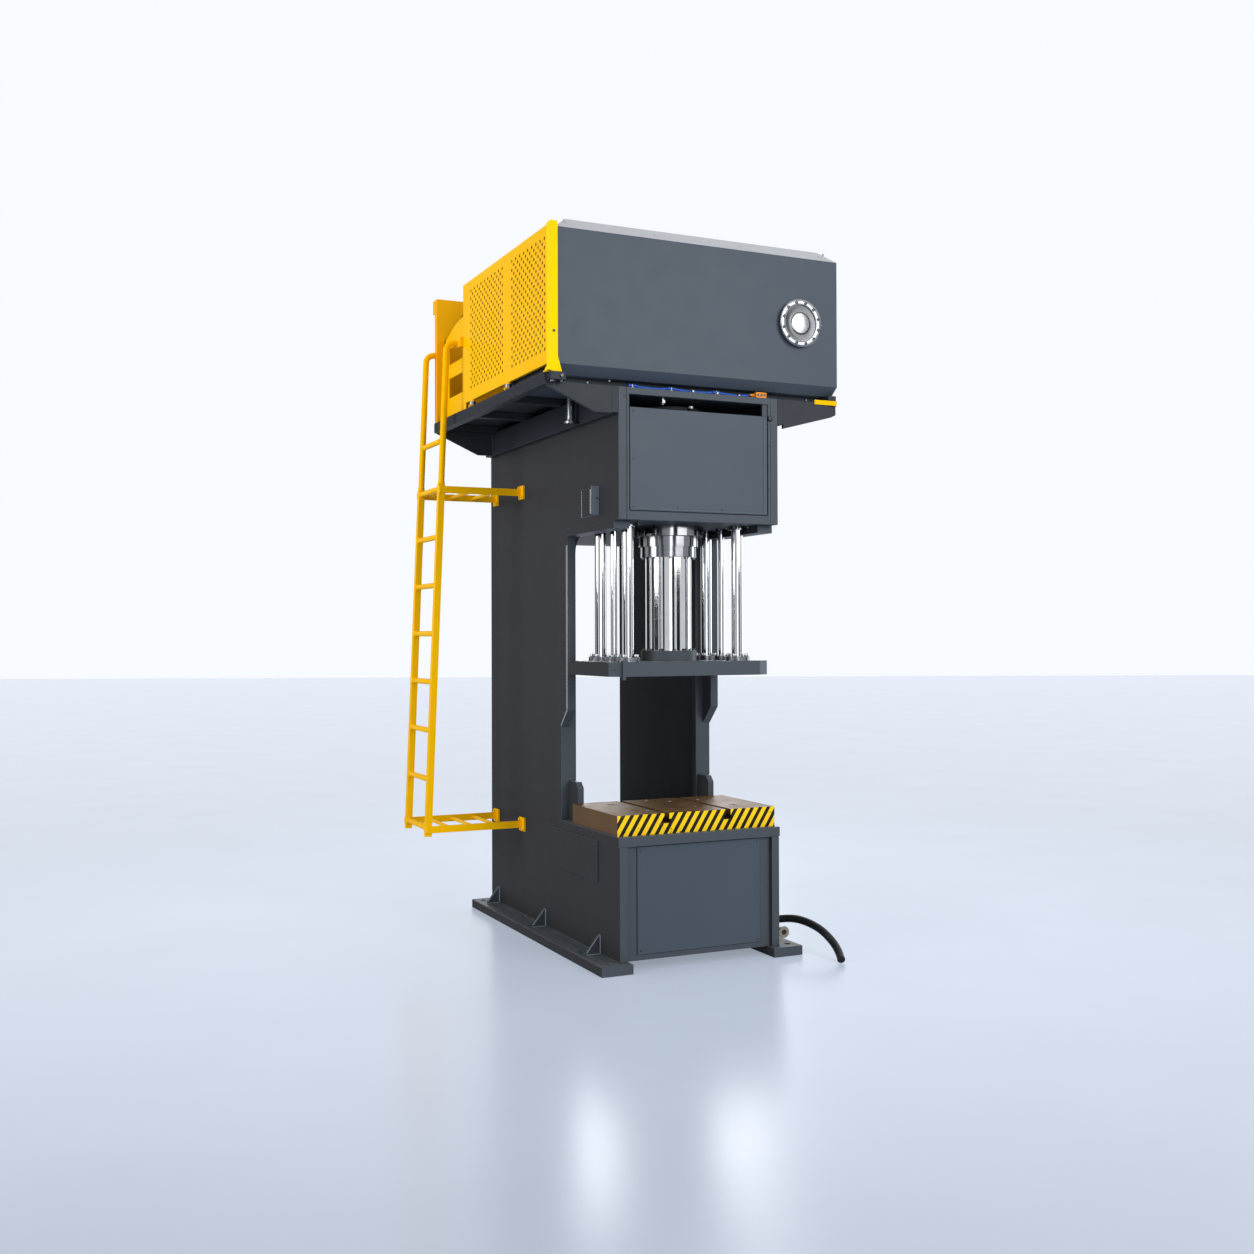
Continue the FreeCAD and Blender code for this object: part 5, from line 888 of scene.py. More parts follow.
class PRESS_OT_gate(bpy.types.Operator):
    """Make the ladder gate: a sheet with a curved top, two windows and hinge sleeves"""
    bl_idname = "press.gate"
    bl_label = "Ladder gate"

    def execute(self, context):
        low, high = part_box("ladder_gate")
        hinge_x, hinge_y = -0.8125, 0.790
        sheet_x = hinge_x - mm(2)
        near, far = low.y, hinge_y - mm(11)
        bottom, top_low, top_high = low.z, 3.490, high.z
        outer = [(near, bottom), (far, bottom), (far, top_low)]
        for share in (n / 12 for n in range(1, 13)):
            outer.append((far + (near - far) * share,
                          top_low + (top_high - top_low) * math.sin(share * math.pi / 2)))
        holes = [rounded((GATE_WINDOW_FRONT, base), (GATE_WINDOW_REAR, top), mm(8))
                 for base, top in GATE_WINDOWS]
        bm = bmesh.new()
        holed_sheet(bm, outer, holes, lambda a, b: Vector((sheet_x, a, b)), X * mm(4))
        for base in (3.070, 3.380):
            turn(bm, Vector((hinge_x, hinge_y, base)), Z,
                 [(mm(5.3), 0), (mm(8.2), 0), (mm(9), mm(1)), (mm(9), mm(59)), (mm(8.2), mm(60)),
                  (mm(5.3), mm(60))], 24, loop=True)
            soft_box(bm, (sheet_x, far - mm(4), base + mm(2)),
                     (sheet_x + mm(4), hinge_y - mm(7), base + mm(58)), mm(0.6))
        piece("ladder_gate_sheet", bm, "gate", "yellow_paint", replaces=("ladder_gate",))
        bm = bmesh.new()
        for outline in holes:
            rim = [Vector((sheet_x + mm(4), y, z)) for y, z in outline]
            rim.append(rim[0])
            tube(bm, rim, mm(2.2), 8)
        for z in (bottom + mm(6), bottom + mm(60)):
            tube(bm, [Vector((sheet_x + mm(5), near + mm(6), z)),
                      Vector((sheet_x + mm(5), far - mm(6), z))], mm(2.4), 8)
        piece("gate_window_rims", bm, "gate", "yellow_paint")
        return {"FINISHED"}


# ---------------------------------------------------------------- head fittings

class PRESS_OT_air_line(bpy.types.Operator):
    """Lay the blue air line over the head with its push-in fittings and vents"""
    bl_idname = "press.air_line"
    bl_label = "Air line"

    def execute(self, context):
        y, z = -0.922, 2.964
        stops = (-0.388, -0.371, -0.149, 0.114, 0.314)
        sag = sizes().air_sag
        points = []
        for left, right in zip(stops, stops[1:]):
            points.append((left, y, z))
            if right - left > 0.05:
                points.append((left * 0.7 + right * 0.3, y - mm(3), z - sag * 0.8))
                points.append((left * 0.3 + right * 0.7, y + mm(3), z - sag * 0.8))
        points.append((stops[-1], y, z))
        bm = bmesh.new()
        tube(bm, smooth_path(points, 6), mm(5), 12)
        for x in stops[1:4]:
            for side in (-1, 1):
                turn(bm, Vector((x + side * mm(9), y, z)), X * side,
                     [(mm(8.5), 0), (mm(8.5), mm(10)), (mm(7), mm(13)), (mm(5), mm(13))], 20)
        piece("blue_air_line", bm, "frame", "blue_plastic", replaces=("air_lines",))
        bm = bmesh.new()
        for x in stops[1:4]:
            base = Vector((x, y, HEAD_TOP))
            loft(bm, [hex_ring(base, Z, mm(17)), hex_ring(base + Z * mm(7), Z, mm(17)),
                      ring(base + Z * mm(8), Z, mm(8), 24), ring(base + Z * mm(20), Z, mm(8.5), 24),
                      ring(base + Z * mm(24), Z, mm(6), 24)])
        for x, inset in ((-0.037, 12), (0.107, 12), (0.247, 32)):
            hexagon_bolt(bm, Vector((x, HEAD_FRONT + mm(inset), HEAD_TOP)), Z, mm(15), mm(12))
        low_vent, high_vent = Vector((-0.037, y, 2.860)), Vector((-0.198, y, 2.878))
        loft(bm, [ring(low_vent, Z, mm(13), 24), ring(low_vent + Z * mm(9), Z, mm(18), 24),
                  ring(low_vent + Z * mm(20), Z, mm(17), 24), ring(low_vent + Z * mm(27), Z, mm(9), 24)])
        loft(bm, [ring(high_vent, Z, mm(8), 24), ring(high_vent + Z * mm(8), Z, mm(9), 24),
                  hex_ring(high_vent + Z * mm(9), Z, mm(27)), hex_ring(high_vent + Z * mm(24), Z, mm(27)),
                  ring(high_vent + Z * mm(25), Z, mm(10), 24), ring(high_vent + Z * mm(62), Z, mm(10), 24)])
        piece("head_fittings", bm, "frame", "bright_steel")
        clamp_low, clamp_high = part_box("clamp_strip")
        middle = clamp_low.lerp(clamp_high, 0.5)
        bm = bmesh.new()
        turn(bm, Vector((clamp_low.x + mm(1), y - mm(8), middle.z)), -X,
             [(mm(10), 0), (mm(9), mm(10)), (mm(6), mm(14)), (mm(5.6), mm(26))], 20)
        piece("clamp_nozzle", bm, "frame", "orange_plastic")
        bm = bmesh.new()
        for number in (-1, 0, 1):
            spot = Vector((middle.x + mm(20) * number, clamp_low.y, middle.z))
            turn(bm, spot, -Y, [(mm(6.5), 0), (mm(6.5), mm(1.2)), (mm(5.5), mm(1.8))], 20)
        piece("clamp_screws", bm, "frame", "bright_steel", dark_screw())
        return {"FINISHED"}


class PRESS_OT_covers(bpy.types.Operator):
    """Fit the covers' screws and black seals, which also paint the shade in the gaps round the covers, the
    head cover's rolled lip in a lighter enamel as a painted highlight, and the frame's bolts
    """
    bl_idname = "press.covers"
    bl_label = "Covers"

    def execute(self, context):
        base_low, base_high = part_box("base_cover_panel")
        head_low, head_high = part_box("head_cover_panel")
        edge = mm(18)
        bm = bmesh.new()
        for x in (base_low.x + edge, base_high.x - edge):
            for z in (base_low.z + edge, base_high.z - edge):
                pan_screw(bm, Vector((x, base_low.y, z)), -Y, mm(4.5), mm(3))
        middle = (head_low.z + head_high.z) / 2
        for x in (head_low.x + edge, head_high.x - edge):
            for z in (head_low.z + edge, middle, head_high.z - edge):
                pan_screw(bm, Vector((x, head_low.y, z)), -Y, mm(4.5), mm(3))
        for x in (-0.13, 0.13):
            pan_screw(bm, Vector((x, head_low.y, head_low.z + edge)), -Y, mm(4.5), mm(3))
        frame_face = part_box("head_front_frame")[0].y
        for x, z in ((-0.432, 2.905), (0.412, 2.70), (0.412, 2.47)):
            pan_screw(bm, Vector((x, frame_face, z)), -Y, mm(4.5), mm(3))
        pan_screw(bm, Vector((0.417, frame_face, 2.841)), -Y, mm(15), mm(12))
        piece("cover_screws", bm, "frame", "bright_steel", dark_screw(), replaces=("frame_screws",))
        # Black seals round the covers, which also paint the shade in the gaps between cover and frame.
        bm = bmesh.new()
        for low, high in ((base_low, base_high), (head_low, head_high)):
            back = high.y + mm(0.3)
            corners = [Vector((x, back, z)) for x, z in (
                (low.x, low.z), (high.x, low.z), (high.x, high.z), (low.x, high.z), (low.x, low.z))]
            for start, end in zip(corners, corners[1:]):
                tube(bm, [start, end], mm(3.2), 8)
        piece("cover_seals", bm, "frame", "black_rubber")
        bm = bmesh.new()
        side, foot = head_high.x - mm(16), head_low.z + mm(7)
        tube(bm, [Vector((side, head_low.y, foot)), Vector((side, head_low.y, head_high.z - mm(16)))],
             mm(5), 16)
        tube(bm, [Vector((head_low.x + mm(8), head_low.y, foot)), Vector((side, head_low.y, foot))],
             mm(3), 16)
        # Painted highlight: the lip's enamel is lighter than the cover's, for the light its rounding
        # catches.
        rolled = satin_enamel("rolled_lip_enamel", shade(paint_of("cover"), 1.5),
                              paint_of("cover"), 0.24)
        piece("head_cover_lip", bm, "frame", "cover_paint", rolled)
        bm = bmesh.new()
        for z in (0.585, 2.543):
            for centre in (0.406, 0.854):
                for side in (-1, 1):
                    hexagon_bolt(bm, Vector((-0.475, centre + mm(27) * side, z + mm(27) * side)), -X,
                                 mm(17), mm(9))
        piece("ladder_pad_bolts", bm, "frame", "yellow_paint")
        return {"FINISHED"}


class PRESS_OT_side_bracket(bpy.types.Operator):
    """Make the folded bracket on the left side plate, its front painted lighter against the head's shadow,
    with bright strips as painted highlights on its edges
    """
    bl_idname = "press.side_bracket"
    bl_label = "Side bracket"

    def execute(self, context):
        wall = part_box("left_side_plate")[0].x
        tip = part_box("side_bracket")[0].x
        front, rear, low, high = -0.713, -0.495, 2.322, 2.472
        bm = bmesh.new()
        soft_box(bm, (wall - mm(4), front, low), (wall, rear, high), mm(1), "x")
        soft_box(bm, (tip, front - mm(4), low), (wall, front + mm(0.5), high), mm(1), "y")
        # Painted light: the front is painted nearly three times lighter, against the shadow the head casts
        # on it.
        pale = shade(paint_of("structure"), 2.8)
        piece("folded_side_bracket", bm, "frame", "frame_paint",
              satin_enamel("bracket_satin_enamel", pale, paint_of("broad_face_shade")),
              replaces=("side_bracket",))
        bm = bmesh.new()
        soft_box(bm, (tip - mm(1), front - mm(4.5), low + mm(6)), (tip + mm(3), front + mm(12), 2.452),
                 mm(0.6))
        soft_box(bm, (wall - mm(5), rear - mm(3), low + mm(4)), (wall, rear + mm(1), high - mm(4)),
                 mm(0.6))
        piece("bracket_bright_edges", bm, "frame", "bright_steel", bright_edge_highlight())
        bm = bmesh.new()
        pan_screw(bm, Vector((wall - mm(12), front - mm(4), 2.408)), -Y, mm(5), mm(3))
        piece("bracket_screw", bm, "frame", "bright_steel", dark_screw())
        return {"FINISHED"}


# The underside of the slide's shoes, in metres.
SHOE_BOTTOM = 1.4855


class PRESS_OT_slide_guides(bpy.types.Operator):
    """Make the slide's shoes, level with the platen, and bright strips on the rails' edges, partly ground
    steel and partly painted highlight
    """
    bl_idname = "press.slide_guides"
    bl_label = "Slide guides"

    def execute(self, context):
        low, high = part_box("guide_shoes")
        rail_low, rail_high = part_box("guide_rails")
        inner_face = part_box("throat_brackets")[1].x
        bottom, top = SHOE_BOTTOM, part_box("rod_flanges")[0].z - mm(0.5)
        shoe_inner = inner_face - mm(40)
        bm = bmesh.new()
        for side in (-1, 1):
            for near, far, outer in ((low.y, rail_low.y - mm(0.3), high.x),
                                     (rail_low.y - mm(2), high.y, inner_face - mm(0.3))):
                left, right = sorted((shoe_inner * side, outer * side))
                soft_box(bm, (left, near + mm(0.2), bottom), (right, far, top), mm(1.5))
        piece("slide_shoes", bm, "slide", "frame_paint", replaces=("guide_shoes",))
        bm = bmesh.new()
        for side in (-1, 1):
            left, right = sorted((rail_high.x * side, (rail_high.x + mm(1.5)) * side))
            soft_box(bm, (left, rail_low.y + mm(0.5), 1.292), (right, rail_low.y + mm(22), 2.190),
                     mm(0.5))
            prism(bm, [Vector((left, rail_low.y + mm(0.5), 1.290)),
                       Vector((left, rail_low.y + mm(20), 1.290)),
                       Vector((left, rail_high.y - mm(2), 1.208)),
                       Vector((left, rail_high.y - mm(2), 1.192))], X * (right - left))
        piece("ground_rail_edges", bm, "frame", "bright_steel", bright_edge_highlight())
        bm = bmesh.new()
        pan_screw(bm, Vector((-0.4401, -0.852, 1.5223)),
                  Vector((-45, -70, 0)).normalized(), mm(7), mm(2))
        piece("platen_plug", bm, "slide", "bright_steel", dark_screw())
        return {"FINISHED"}


# Centres of the bolster's plugs, in metres.
BOLSTER_PLUGS = ((-0.033, -0.374), (0.059, -0.477), (-0.22, -0.777), (0.07, -0.752), (0.233, -0.476),
                 (-0.234, -0.59))


class PRESS_OT_bolster_plugs(bpy.types.Operator):
    """Fit the bright plugs on the bolster"""
    bl_idname = "press.bolster_plugs"
    bl_label = "Bolster plugs"

    def execute(self, context):
        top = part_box("bolster_plate")[1].z
        bm = bmesh.new()
        for x, y in BOLSTER_PLUGS:
            pan_screw(bm, Vector((x, y, top)), Z, mm(9), mm(4))
        piece("bolster_plugs", bm, "frame", "bright_steel")
        return {"FINISHED"}


class PRESS_OT_manhole(bpy.types.Operator):
    """Make the dished manhole cover and the screws round it"""
    bl_idname = "press.manhole"
    bl_label = "Manhole"

    def execute(self, context):
        low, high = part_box("manhole_cover")
        centre = low.lerp(high, 0.5)
        radius = (high.x - low.x) / 2
        bm = bmesh.new()
        turn(bm, Vector((centre.x, high.y, centre.z)), -Y,
             [(radius, 0), (radius, mm(10.8)), (radius - mm(1.2), mm(12)), (mm(95), mm(12)),
              (mm(94), mm(11)), (mm(93), mm(5)), (mm(80), mm(3.5)), (mm(62), mm(2.5)),
              (mm(58), mm(3)), (mm(54), mm(7)), (mm(52), mm(7.6)), (mm(20), mm(8.2))], 72)
        piece("dished_manhole_cover", bm, "frame", "stainless", replaces=("manhole_cover",), angle=50)
        bm = bmesh.new()
        for spot in ring(Vector((centre.x, low.y, centre.z)), -Y, mm(110), 12, math.pi / 12):
            socket_bolt(bm, spot, -Y, mm(8.5), mm(5), mm(9))
        piece("manhole_cap_screws", bm, "frame", "stainless", dark_screw(), replaces=("manhole_bolts",))
        return {"FINISHED"}


class PRESS_OT_tank_rivets(bpy.types.Operator):
    """Fit the rivets at the corners of the tank's lid"""
    bl_idname = "press.tank_rivets"
    bl_label = "Lid rivets"

    def execute(self, context):
        bm = bmesh.new()
        low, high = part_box("tank_lid")
        rise, inset = high.z - low.z, mm(76)
        for y in (low.y + mm(46), high.y - mm(46)):
            for side, end in ((-1, low.x), (1, high.x)):
                for share in (0.25, 0.75):
                    spot = Vector((end - side * inset * share, y, low.z + rise * share))
                    pan_screw(bm, spot, Vector((rise * side, 0, inset)).normalized(), mm(6), mm(3))
        for x in (-0.74, -0.25, 0.25, 0.74):
            for side, end in ((-1, low.y), (1, high.y)):
                spot = Vector((x, end - side * inset / 2, low.z + rise / 2))
                pan_screw(bm, spot, Vector((0, rise * side, inset)).normalized(), mm(5), mm(3))
        piece("lid_rivets", bm, "frame", "lid_steel")
        return {"FINISHED"}


# ---------------------------------------------------------------- slide fittings

# Each rod's place along Y, the circle, width and height of its flange's bolts, and the circle of
# its bush's screws, in metres. The rods stand at ROD_X on both sides.
ROD_X = 0.325
RODS = ((-0.765, 0.048, 0.024, 0.016, 0.060), (-0.415, 0.048, 0.024, 0.016, 0.060),
        (CYLINDER_Y, 0.028, 0.013, 0.009, 0.042))
# Radius in metres of the screw circles of the ram's ring and of the gland.
RAM_CIRCLE = 0.1375
# Start of a circle of four screws that stand on its diagonals.
DIAGONAL = math.pi / 4


def rod_spots():
    """The six rods: X of each, then its row of RODS."""
    return [(x, *rod) for x in (-ROD_X, ROD_X) for rod in RODS]


class PRESS_OT_slide_bolts(bpy.types.Operator):
    """Fit hexagon bolts to the rod flanges and cap screws to the ram's ring"""
    bl_idname = "press.slide_bolts"
    bl_label = "Slide bolts"

    def execute(self, context):
        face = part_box("rod_flanges")[1].z
        bm = bmesh.new()
        for x, y, circle, flats, height, _ in rod_spots():
            for spot in ring(Vector((x, y, face)), Z, circle, 4, DIAGONAL):
                hexagon_bolt(bm, spot, Z, flats, height)
        piece("rod_flange_bolts", bm, "slide", "bright_steel", replaces=("slide_bolts",))
        bm = bmesh.new()
        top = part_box("ram_flange")[1].z
        for spot in ring(Vector((0, CYLINDER_Y, top)), Z, RAM_CIRCLE, 12, math.pi / 12):
            socket_bolt(bm, spot, Z, mm(9), mm(10), mm(8))
        piece("ram_ring_cap_screws", bm, "slide", "bright_steel", dark_screw())
        return {"FINISHED"}


class PRESS_OT_gland_bolts(bpy.types.Operator):
    """Fit the cap screws below the gland and the bushes"""
    bl_idname = "press.gland_bolts"
    bl_label = "Gland and bush screws"

    def execute(self, context):
        bm = bmesh.new()
        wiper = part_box("wiper_ring")[0].z
        for spot in ring(Vector((0, CYLINDER_Y, wiper)), Z, RAM_CIRCLE, 8, math.pi / 8):
            socket_bolt(bm, spot, -Z, mm(7), mm(8), mm(6))
        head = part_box("head_bottom_plate")[0].z
        for x, y, *_, circle in rod_spots():
            for spot in ring(Vector((x, y, head)), Z, circle, 4, DIAGONAL):
                socket_bolt(bm, spot, -Z, mm(8), mm(9), mm(7))
        piece("gland_and_bush_screws", bm, "frame", "bright_steel")
        return {"FINISHED"}


# ---------------------------------------------------------------- roof fittings

class PRESS_OT_roof_bolts(bpy.types.Operator):
    """Fit the bolts of the lug, the haunches and the drain flange"""
    bl_idname = "press.roof_bolts"
    bl_label = "Roof bolts"

    def execute(self, context):
        bm = bmesh.new()
        for x in (-0.832, -0.786):
            hexagon_bolt(bm, Vector((x, -0.984, HEAD_TOP)), -Z, mm(19), mm(12))
        hexagon_bolt(bm, Vector((-0.792, -1.005, 2.970)), -Y, mm(16), mm(9))
        for spot in ring(Vector((-0.538, -0.514, 2.829)), Z, mm(27), 4, DIAGONAL):
            hexagon_bolt(bm, spot, Z, mm(10), mm(7), False)
        for x, z in ((-0.6365, 2.953), (-0.5165, 2.970), (0.640, 2.953)):
            hexagon_bolt(bm, Vector((x, HEAD_FRONT, z)), -Y, mm(11), mm(7))
        piece("roof_bolts", bm, "frame", "bright_steel", dark_screw())
        return {"FINISHED"}


class PRESS_OT_motor(bpy.types.Operator):
    """Make the finned pump motor with its cowl, feet and terminal box"""
    bl_idname = "press.motor"
    bl_label = "Pump motor"

    def execute(self, context):
        low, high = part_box("pump_motor")
        y, z, radius, length = MOTOR_Y, MOTOR_Z, 0.125, 0.360
        start, foot_top = low.x, DECK_TOP + mm(16)
        bm = bmesh.new()
        body_radius = radius - mm(20)
        turn(bm, Vector((start + mm(88), y, z)), X,
             [(body_radius, 0), (body_radius, mm(226))], 48)
        for flange in (start + mm(80), start + mm(308)):
            turn(bm, Vector((flange, y, z)), X,
                 [(radius - mm(14), 0), (radius - mm(8), mm(3)), (radius - mm(8), mm(22)),
                  (radius - mm(14), mm(26))], 48)
        turn(bm, Vector((high.x - mm(28), y, z)), X,
             [(radius - mm(8), 0), (radius - mm(8), mm(16)), (radius - mm(20), mm(28))], 48)
        turn(bm, Vector((start, y, z)), X,
             [(radius - mm(34), 0), (radius - mm(6), mm(10)), (radius, mm(20)), (radius, mm(80)),
              (radius - mm(3), mm(82))], 48)
        count = int(math.tau * body_radius / sizes().fin_pitch)
        for number in range(count):
            angle = math.tau * number / count
            if abs(math.sin(angle)) > 0.9:
                continue
            out = Vector((0, math.cos(angle), math.sin(angle)))
            side = Vector((0, -math.sin(angle), math.cos(angle))) * mm(1.6)
            foot = Vector((start + mm(106), y, z)) + out * (body_radius - mm(2))
            tip = Vector((start + mm(106), y, z)) + out * (radius - mm(2))
            prism(bm, [foot - side, foot + side, tip + side * 0.5, tip - side * 0.5], X * mm(202))
        centre = start + length / 2
        for x in (centre - 0.11, centre + 0.07):
            soft_box(bm, (x, y - radius, DECK_TOP), (x + mm(40), y + radius, foot_top), mm(3), "x")
            prism(bm, [Vector((x + mm(4), y + mm(wide), height)) for wide, height in (
                (-55, foot_top - mm(2)), (55, foot_top - mm(2)), (75, z - mm(60)), (-75, z - mm(60)))],
                X * mm(32))
        soft_box(bm, (centre - 0.055, y - 0.055, z + body_radius - mm(12)),
                 (centre + 0.055, y + 0.055, high.z - mm(10)), mm(3))
        soft_box(bm, (centre - 0.058, y - 0.058, high.z - mm(9)),
                 (centre + 0.055, y + 0.055, high.z), mm(2))
        piece("finned_pump_motor", bm, "frame", "motor_paint", replaces=("pump_motor",))
        bm = bmesh.new()
        # The cowl's holes are dark discs in black-oxide steel: painted shade in place of open holes.
        for row in range(5):
            for spot in ring(Vector((start - mm(0.6), y, z)), X, mm(16 + row * 15), 6 + row * 5):
                turn(bm, spot, X, [(mm(3.6), 0), (mm(3.6), mm(2))], 10)
        for x in (centre - 0.09, centre + 0.09):
            for side in (-1, 1):
                hexagon_bolt(bm, Vector((x, y + side * 0.105, foot_top)), Z, mm(17), mm(11))
        for side in (-1, 1):
            turn(bm, Vector((centre + side * mm(22), y - 0.055, z + 0.135)), -Y,
                 [(mm(11), 0), (mm(11), mm(8)), (mm(9), mm(9)), (mm(9), mm(17)), (mm(5), mm(19))], 20)
        piece("motor_cowl_holes_and_bolts", bm, "frame", "motor_paint", dark_screw())
        return {"FINISHED"}


class PRESS_OT_pump(bpy.types.Operator):
    """Make the bell housing and the pump with their bolts"""
    bl_idname = "press.pump"
    bl_label = "Pump"

    def execute(self, context):
        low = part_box("pump_unit")[0]
        y, z = MOTOR_Y, MOTOR_Z
        bm = bmesh.new()
        turn(bm, Vector((low.x, y, z)), X,
             [(mm(105), 0), (mm(105), mm(14)), (mm(88), mm(20)), (mm(80), mm(70)), (mm(92), mm(76)),
              (mm(92), mm(90)), (mm(75), mm(90)), (mm(75), mm(112)), (mm(68), mm(118)),
              (mm(66), mm(190)), (mm(75), mm(196)), (mm(75), mm(222)), (mm(60), mm(232)),
              (mm(34), mm(240))], 48)
        for side in (-1, 1):
            turn(bm, Vector((low.x + mm(155), y + side * mm(58), z)), Y * side,
                 [(mm(26), 0), (mm(26), mm(10)), (mm(22), mm(14))], 28)
        piece("bell_housing_and_pump", bm, "frame", "pump_iron", replaces=("pump_unit",))
        bm = bmesh.new()
        for face, circle in ((90, 83), (14, 96)):
            for spot in ring(Vector((low.x + mm(face), y, z)), X, mm(circle), 6, math.pi / 6):
                hexagon_bolt(bm, spot, X, mm(12), mm(8))
        for spot in ring(Vector((low.x + mm(222), y, z)), X, mm(63), 4, DIAGONAL):
            socket_bolt(bm, spot, X, mm(7), mm(8), mm(7))
        piece("pump_bolts", bm, "frame", "bright_steel")
        return {"FINISHED"}


class PRESS_OT_valves(bpy.types.Operator):
    """Make the valve block with its solenoid valves, plugs and connectors"""
    bl_idname = "press.valves"
    bl_label = "Valve block"

    def execute(self, context):
        low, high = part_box("valve_block")
        y, top = 0.060, DECK_TOP + mm(190)
        valves_x = [0.480 + mm(69) * number for number in (-1, 0, 1)]
        bm = bmesh.new()
        soft_box(bm, (low.x, low.y, low.z), (high.x, high.y, top), mm(3))
        for x in valves_x:
            soft_box(bm, (x - mm(25), y - mm(26), top), (x + mm(25), y + mm(26), top + mm(30)), mm(2))
            turn(bm, Vector((x, y, top + mm(30))), Z, [(mm(17), 0), (mm(17), mm(8)), (mm(12), mm(9))], 28)
        piece("valve_manifold", bm, "frame", "bright_steel", replaces=("valve_block",))
        bm = bmesh.new()
        coil = top + mm(39)
        for x in valves_x:
            soft_box(bm, (x - mm(22), y - mm(22), coil), (x + mm(22), y + mm(22), coil + mm(62)), mm(3))
            soft_box(bm, (x - mm(13), y - mm(26), coil + mm(14)),
                     (x + mm(13), y - mm(21), coil + mm(50)), mm(1.5), "y")
            turn(bm, Vector((x, y, coil + mm(62))), Z,
                 [(mm(10), 0), (mm(10), mm(22)), (mm(7), mm(27)), (mm(4), mm(33))], 24)
        piece("solenoid_coils", bm, "frame", "pump_iron",
              moulded("black_coil_resin", hex_colour("202226"), 0.42))
        bm = bmesh.new()
        for z in (3.04, 3.10, 3.155):
            for side in (-1, 1):
                hexagon_bolt(bm, Vector((high.x, y + side * mm(42), z)), X, mm(19), mm(8))
        for x in valves_x:
            for wide, deep in ((-19, -20), (19, -20), (19, 20), (-19, 20)):
                socket_bolt(bm, Vector((x + mm(wide), y + mm(deep), top + mm(30))), Z,
                            mm(4), mm(5), mm(3.5))
        piece("valve_plugs", bm, "frame", "bright_steel", dark_screw())
        return {"FINISHED"}


class PRESS_OT_pipe_unions(bpy.types.Operator):
    """Fit the union nuts of the pressure pipe"""
    bl_idname = "press.pipe_unions"
    bl_label = "Pipe unions"

    def execute(self, context):
        bm = bmesh.new()
        for centre, axis in ((Vector((0.364, 0.060, 3.091)), -X), (Vector((0.300, 0.060, 3.024)), Z),
                             (Vector((0.0, -0.404, 2.700)), Y)):
            loft(bm, [ring(centre, axis, mm(19), 24), hex_ring(centre + axis * mm(1), axis, mm(44)),
                      hex_ring(centre + axis * mm(22), axis, mm(44)),
                      ring(centre + axis * mm(24), axis, mm(20), 24)])
        piece("pipe_union_nuts", bm, "frame", "bright_steel")
        return {"FINISHED"}


# ---------------------------------------------------------------- welds

# The ladder's lowest rung and pitch in metres and its count of rungs, then a point on the line of
# the rungs and the angle of its lean.
LOWEST_RUNG, RUNG_PITCH, RUNGS = 0.591, 0.280, 9
STRINGER_X, STRINGER_FOOT, STRINGER_LEAN = -1.040, 0.545, math.radians(2.38)


class PRESS_OT_seams(bpy.types.Operator):
    """Run the fillet welds of the feet, gussets, beams and bed, and sleeve the ladder's rungs"""
    bl_idname = "press.seams"
    bl_label = "Weld seams"

    def execute(self, context):
        leg = sizes().seam
        bm = bmesh.new()
        for side in (-1, 1):
            wall = WALL_X * side
            stops = [-0.955, -0.717, -0.707, 0.047, 0.057, 0.816, 0.826, 0.955]
            for n in range(0, len(stops), 2):
                seam(bm, (wall, stops[n], FOOT_TOP), (wall, stops[n + 1], FOOT_TOP), leg)
            seam(bm, (wall, -0.691, 0.418), (wall, -0.092, 0.418), leg * 0.7)
            seam(bm, (BEAM_X * side, -0.94, 2.815), (BEAM_X * side, 0.94, 2.815), mm(2))
            for y in (-0.944, 0.829):
                seam(bm, (BEAM_X * side, y, 2.816), (BEAM_X * side, y, 2.948), leg * 0.8)
        seam(bm, (-0.415, -0.935, 0.630), (0.415, -0.935, 0.630), leg * 0.8)
        piece("fillet_welds", bm, "frame", "frame_paint")
        bm = bmesh.new()
        for side in (-1, 1):
            wall, tip = WALL_X * side, 0.542 * side
            for y in (-0.712, 0.052, 0.821):
                for edge in (-0.005, 0.005):
                    seam(bm, (wall, y + edge, FOOT_TOP + mm(4)), (wall, y + edge, FOOT_TOP + mm(98)), leg)
                    seam(bm, (wall + mm(4) * side, y + edge, FOOT_TOP), (tip, y + edge, FOOT_TOP), leg)
                seam(bm, (wall + mm(4) * side, y - mm(4), FOOT_TOP + mm(100)),
                     (tip, y - mm(4), FOOT_TOP + mm(10)), leg * 0.6)
        # Painted highlight: the gusset welds take an enamel over three times lighter than the frame's, for
        # the light on the gussets' edges.
        rubbed = shade(paint_of("structure"), 3.4)
        piece("gusset_welds", bm, "frame", "frame_paint",
              satin_enamel("rubbed_weld_enamel", rubbed, rubbed, 0.36))
        bm = bmesh.new()
        for n in range(RUNGS):
            z = LOWEST_RUNG + RUNG_PITCH * n
            x = STRINGER_X + (z - STRINGER_FOOT) * math.tan(STRINGER_LEAN)
            for y, axis in ((0.448, Y), (0.812, -Y)):
                turn(bm, Vector((x, y, z)), axis, [(mm(19), 0), (mm(18), mm(2)), (mm(15), mm(4))], 20)
            turn(bm, Vector((x, 0.450, z)), Y,
                 [(mm(15), 0), (mm(16), mm(5)), (mm(16), mm(355)), (mm(15), mm(360))], 20)
        piece("rung_sleeves", bm, "frame", "yellow_paint")
        return {"FINISHED"}


# ---------------------------------------------------------------- stage

CAMERA_PLACE = Vector((-3.3587, -7.2508, 1.6913))
CAMERA_YAW, CAMERA_PITCH, CAMERA_ROLL = 25.03, 0.39, -0.18
CAMERA_LENS = 39.61

# The floor's reach in metres from the camera's foot, and the surroundings' share as a light.
FLOOR_AHEAD, FLOOR_BEHIND, FLOOR_HALF = 57.5, 30, 60
WORLD_LIGHT = 0.40

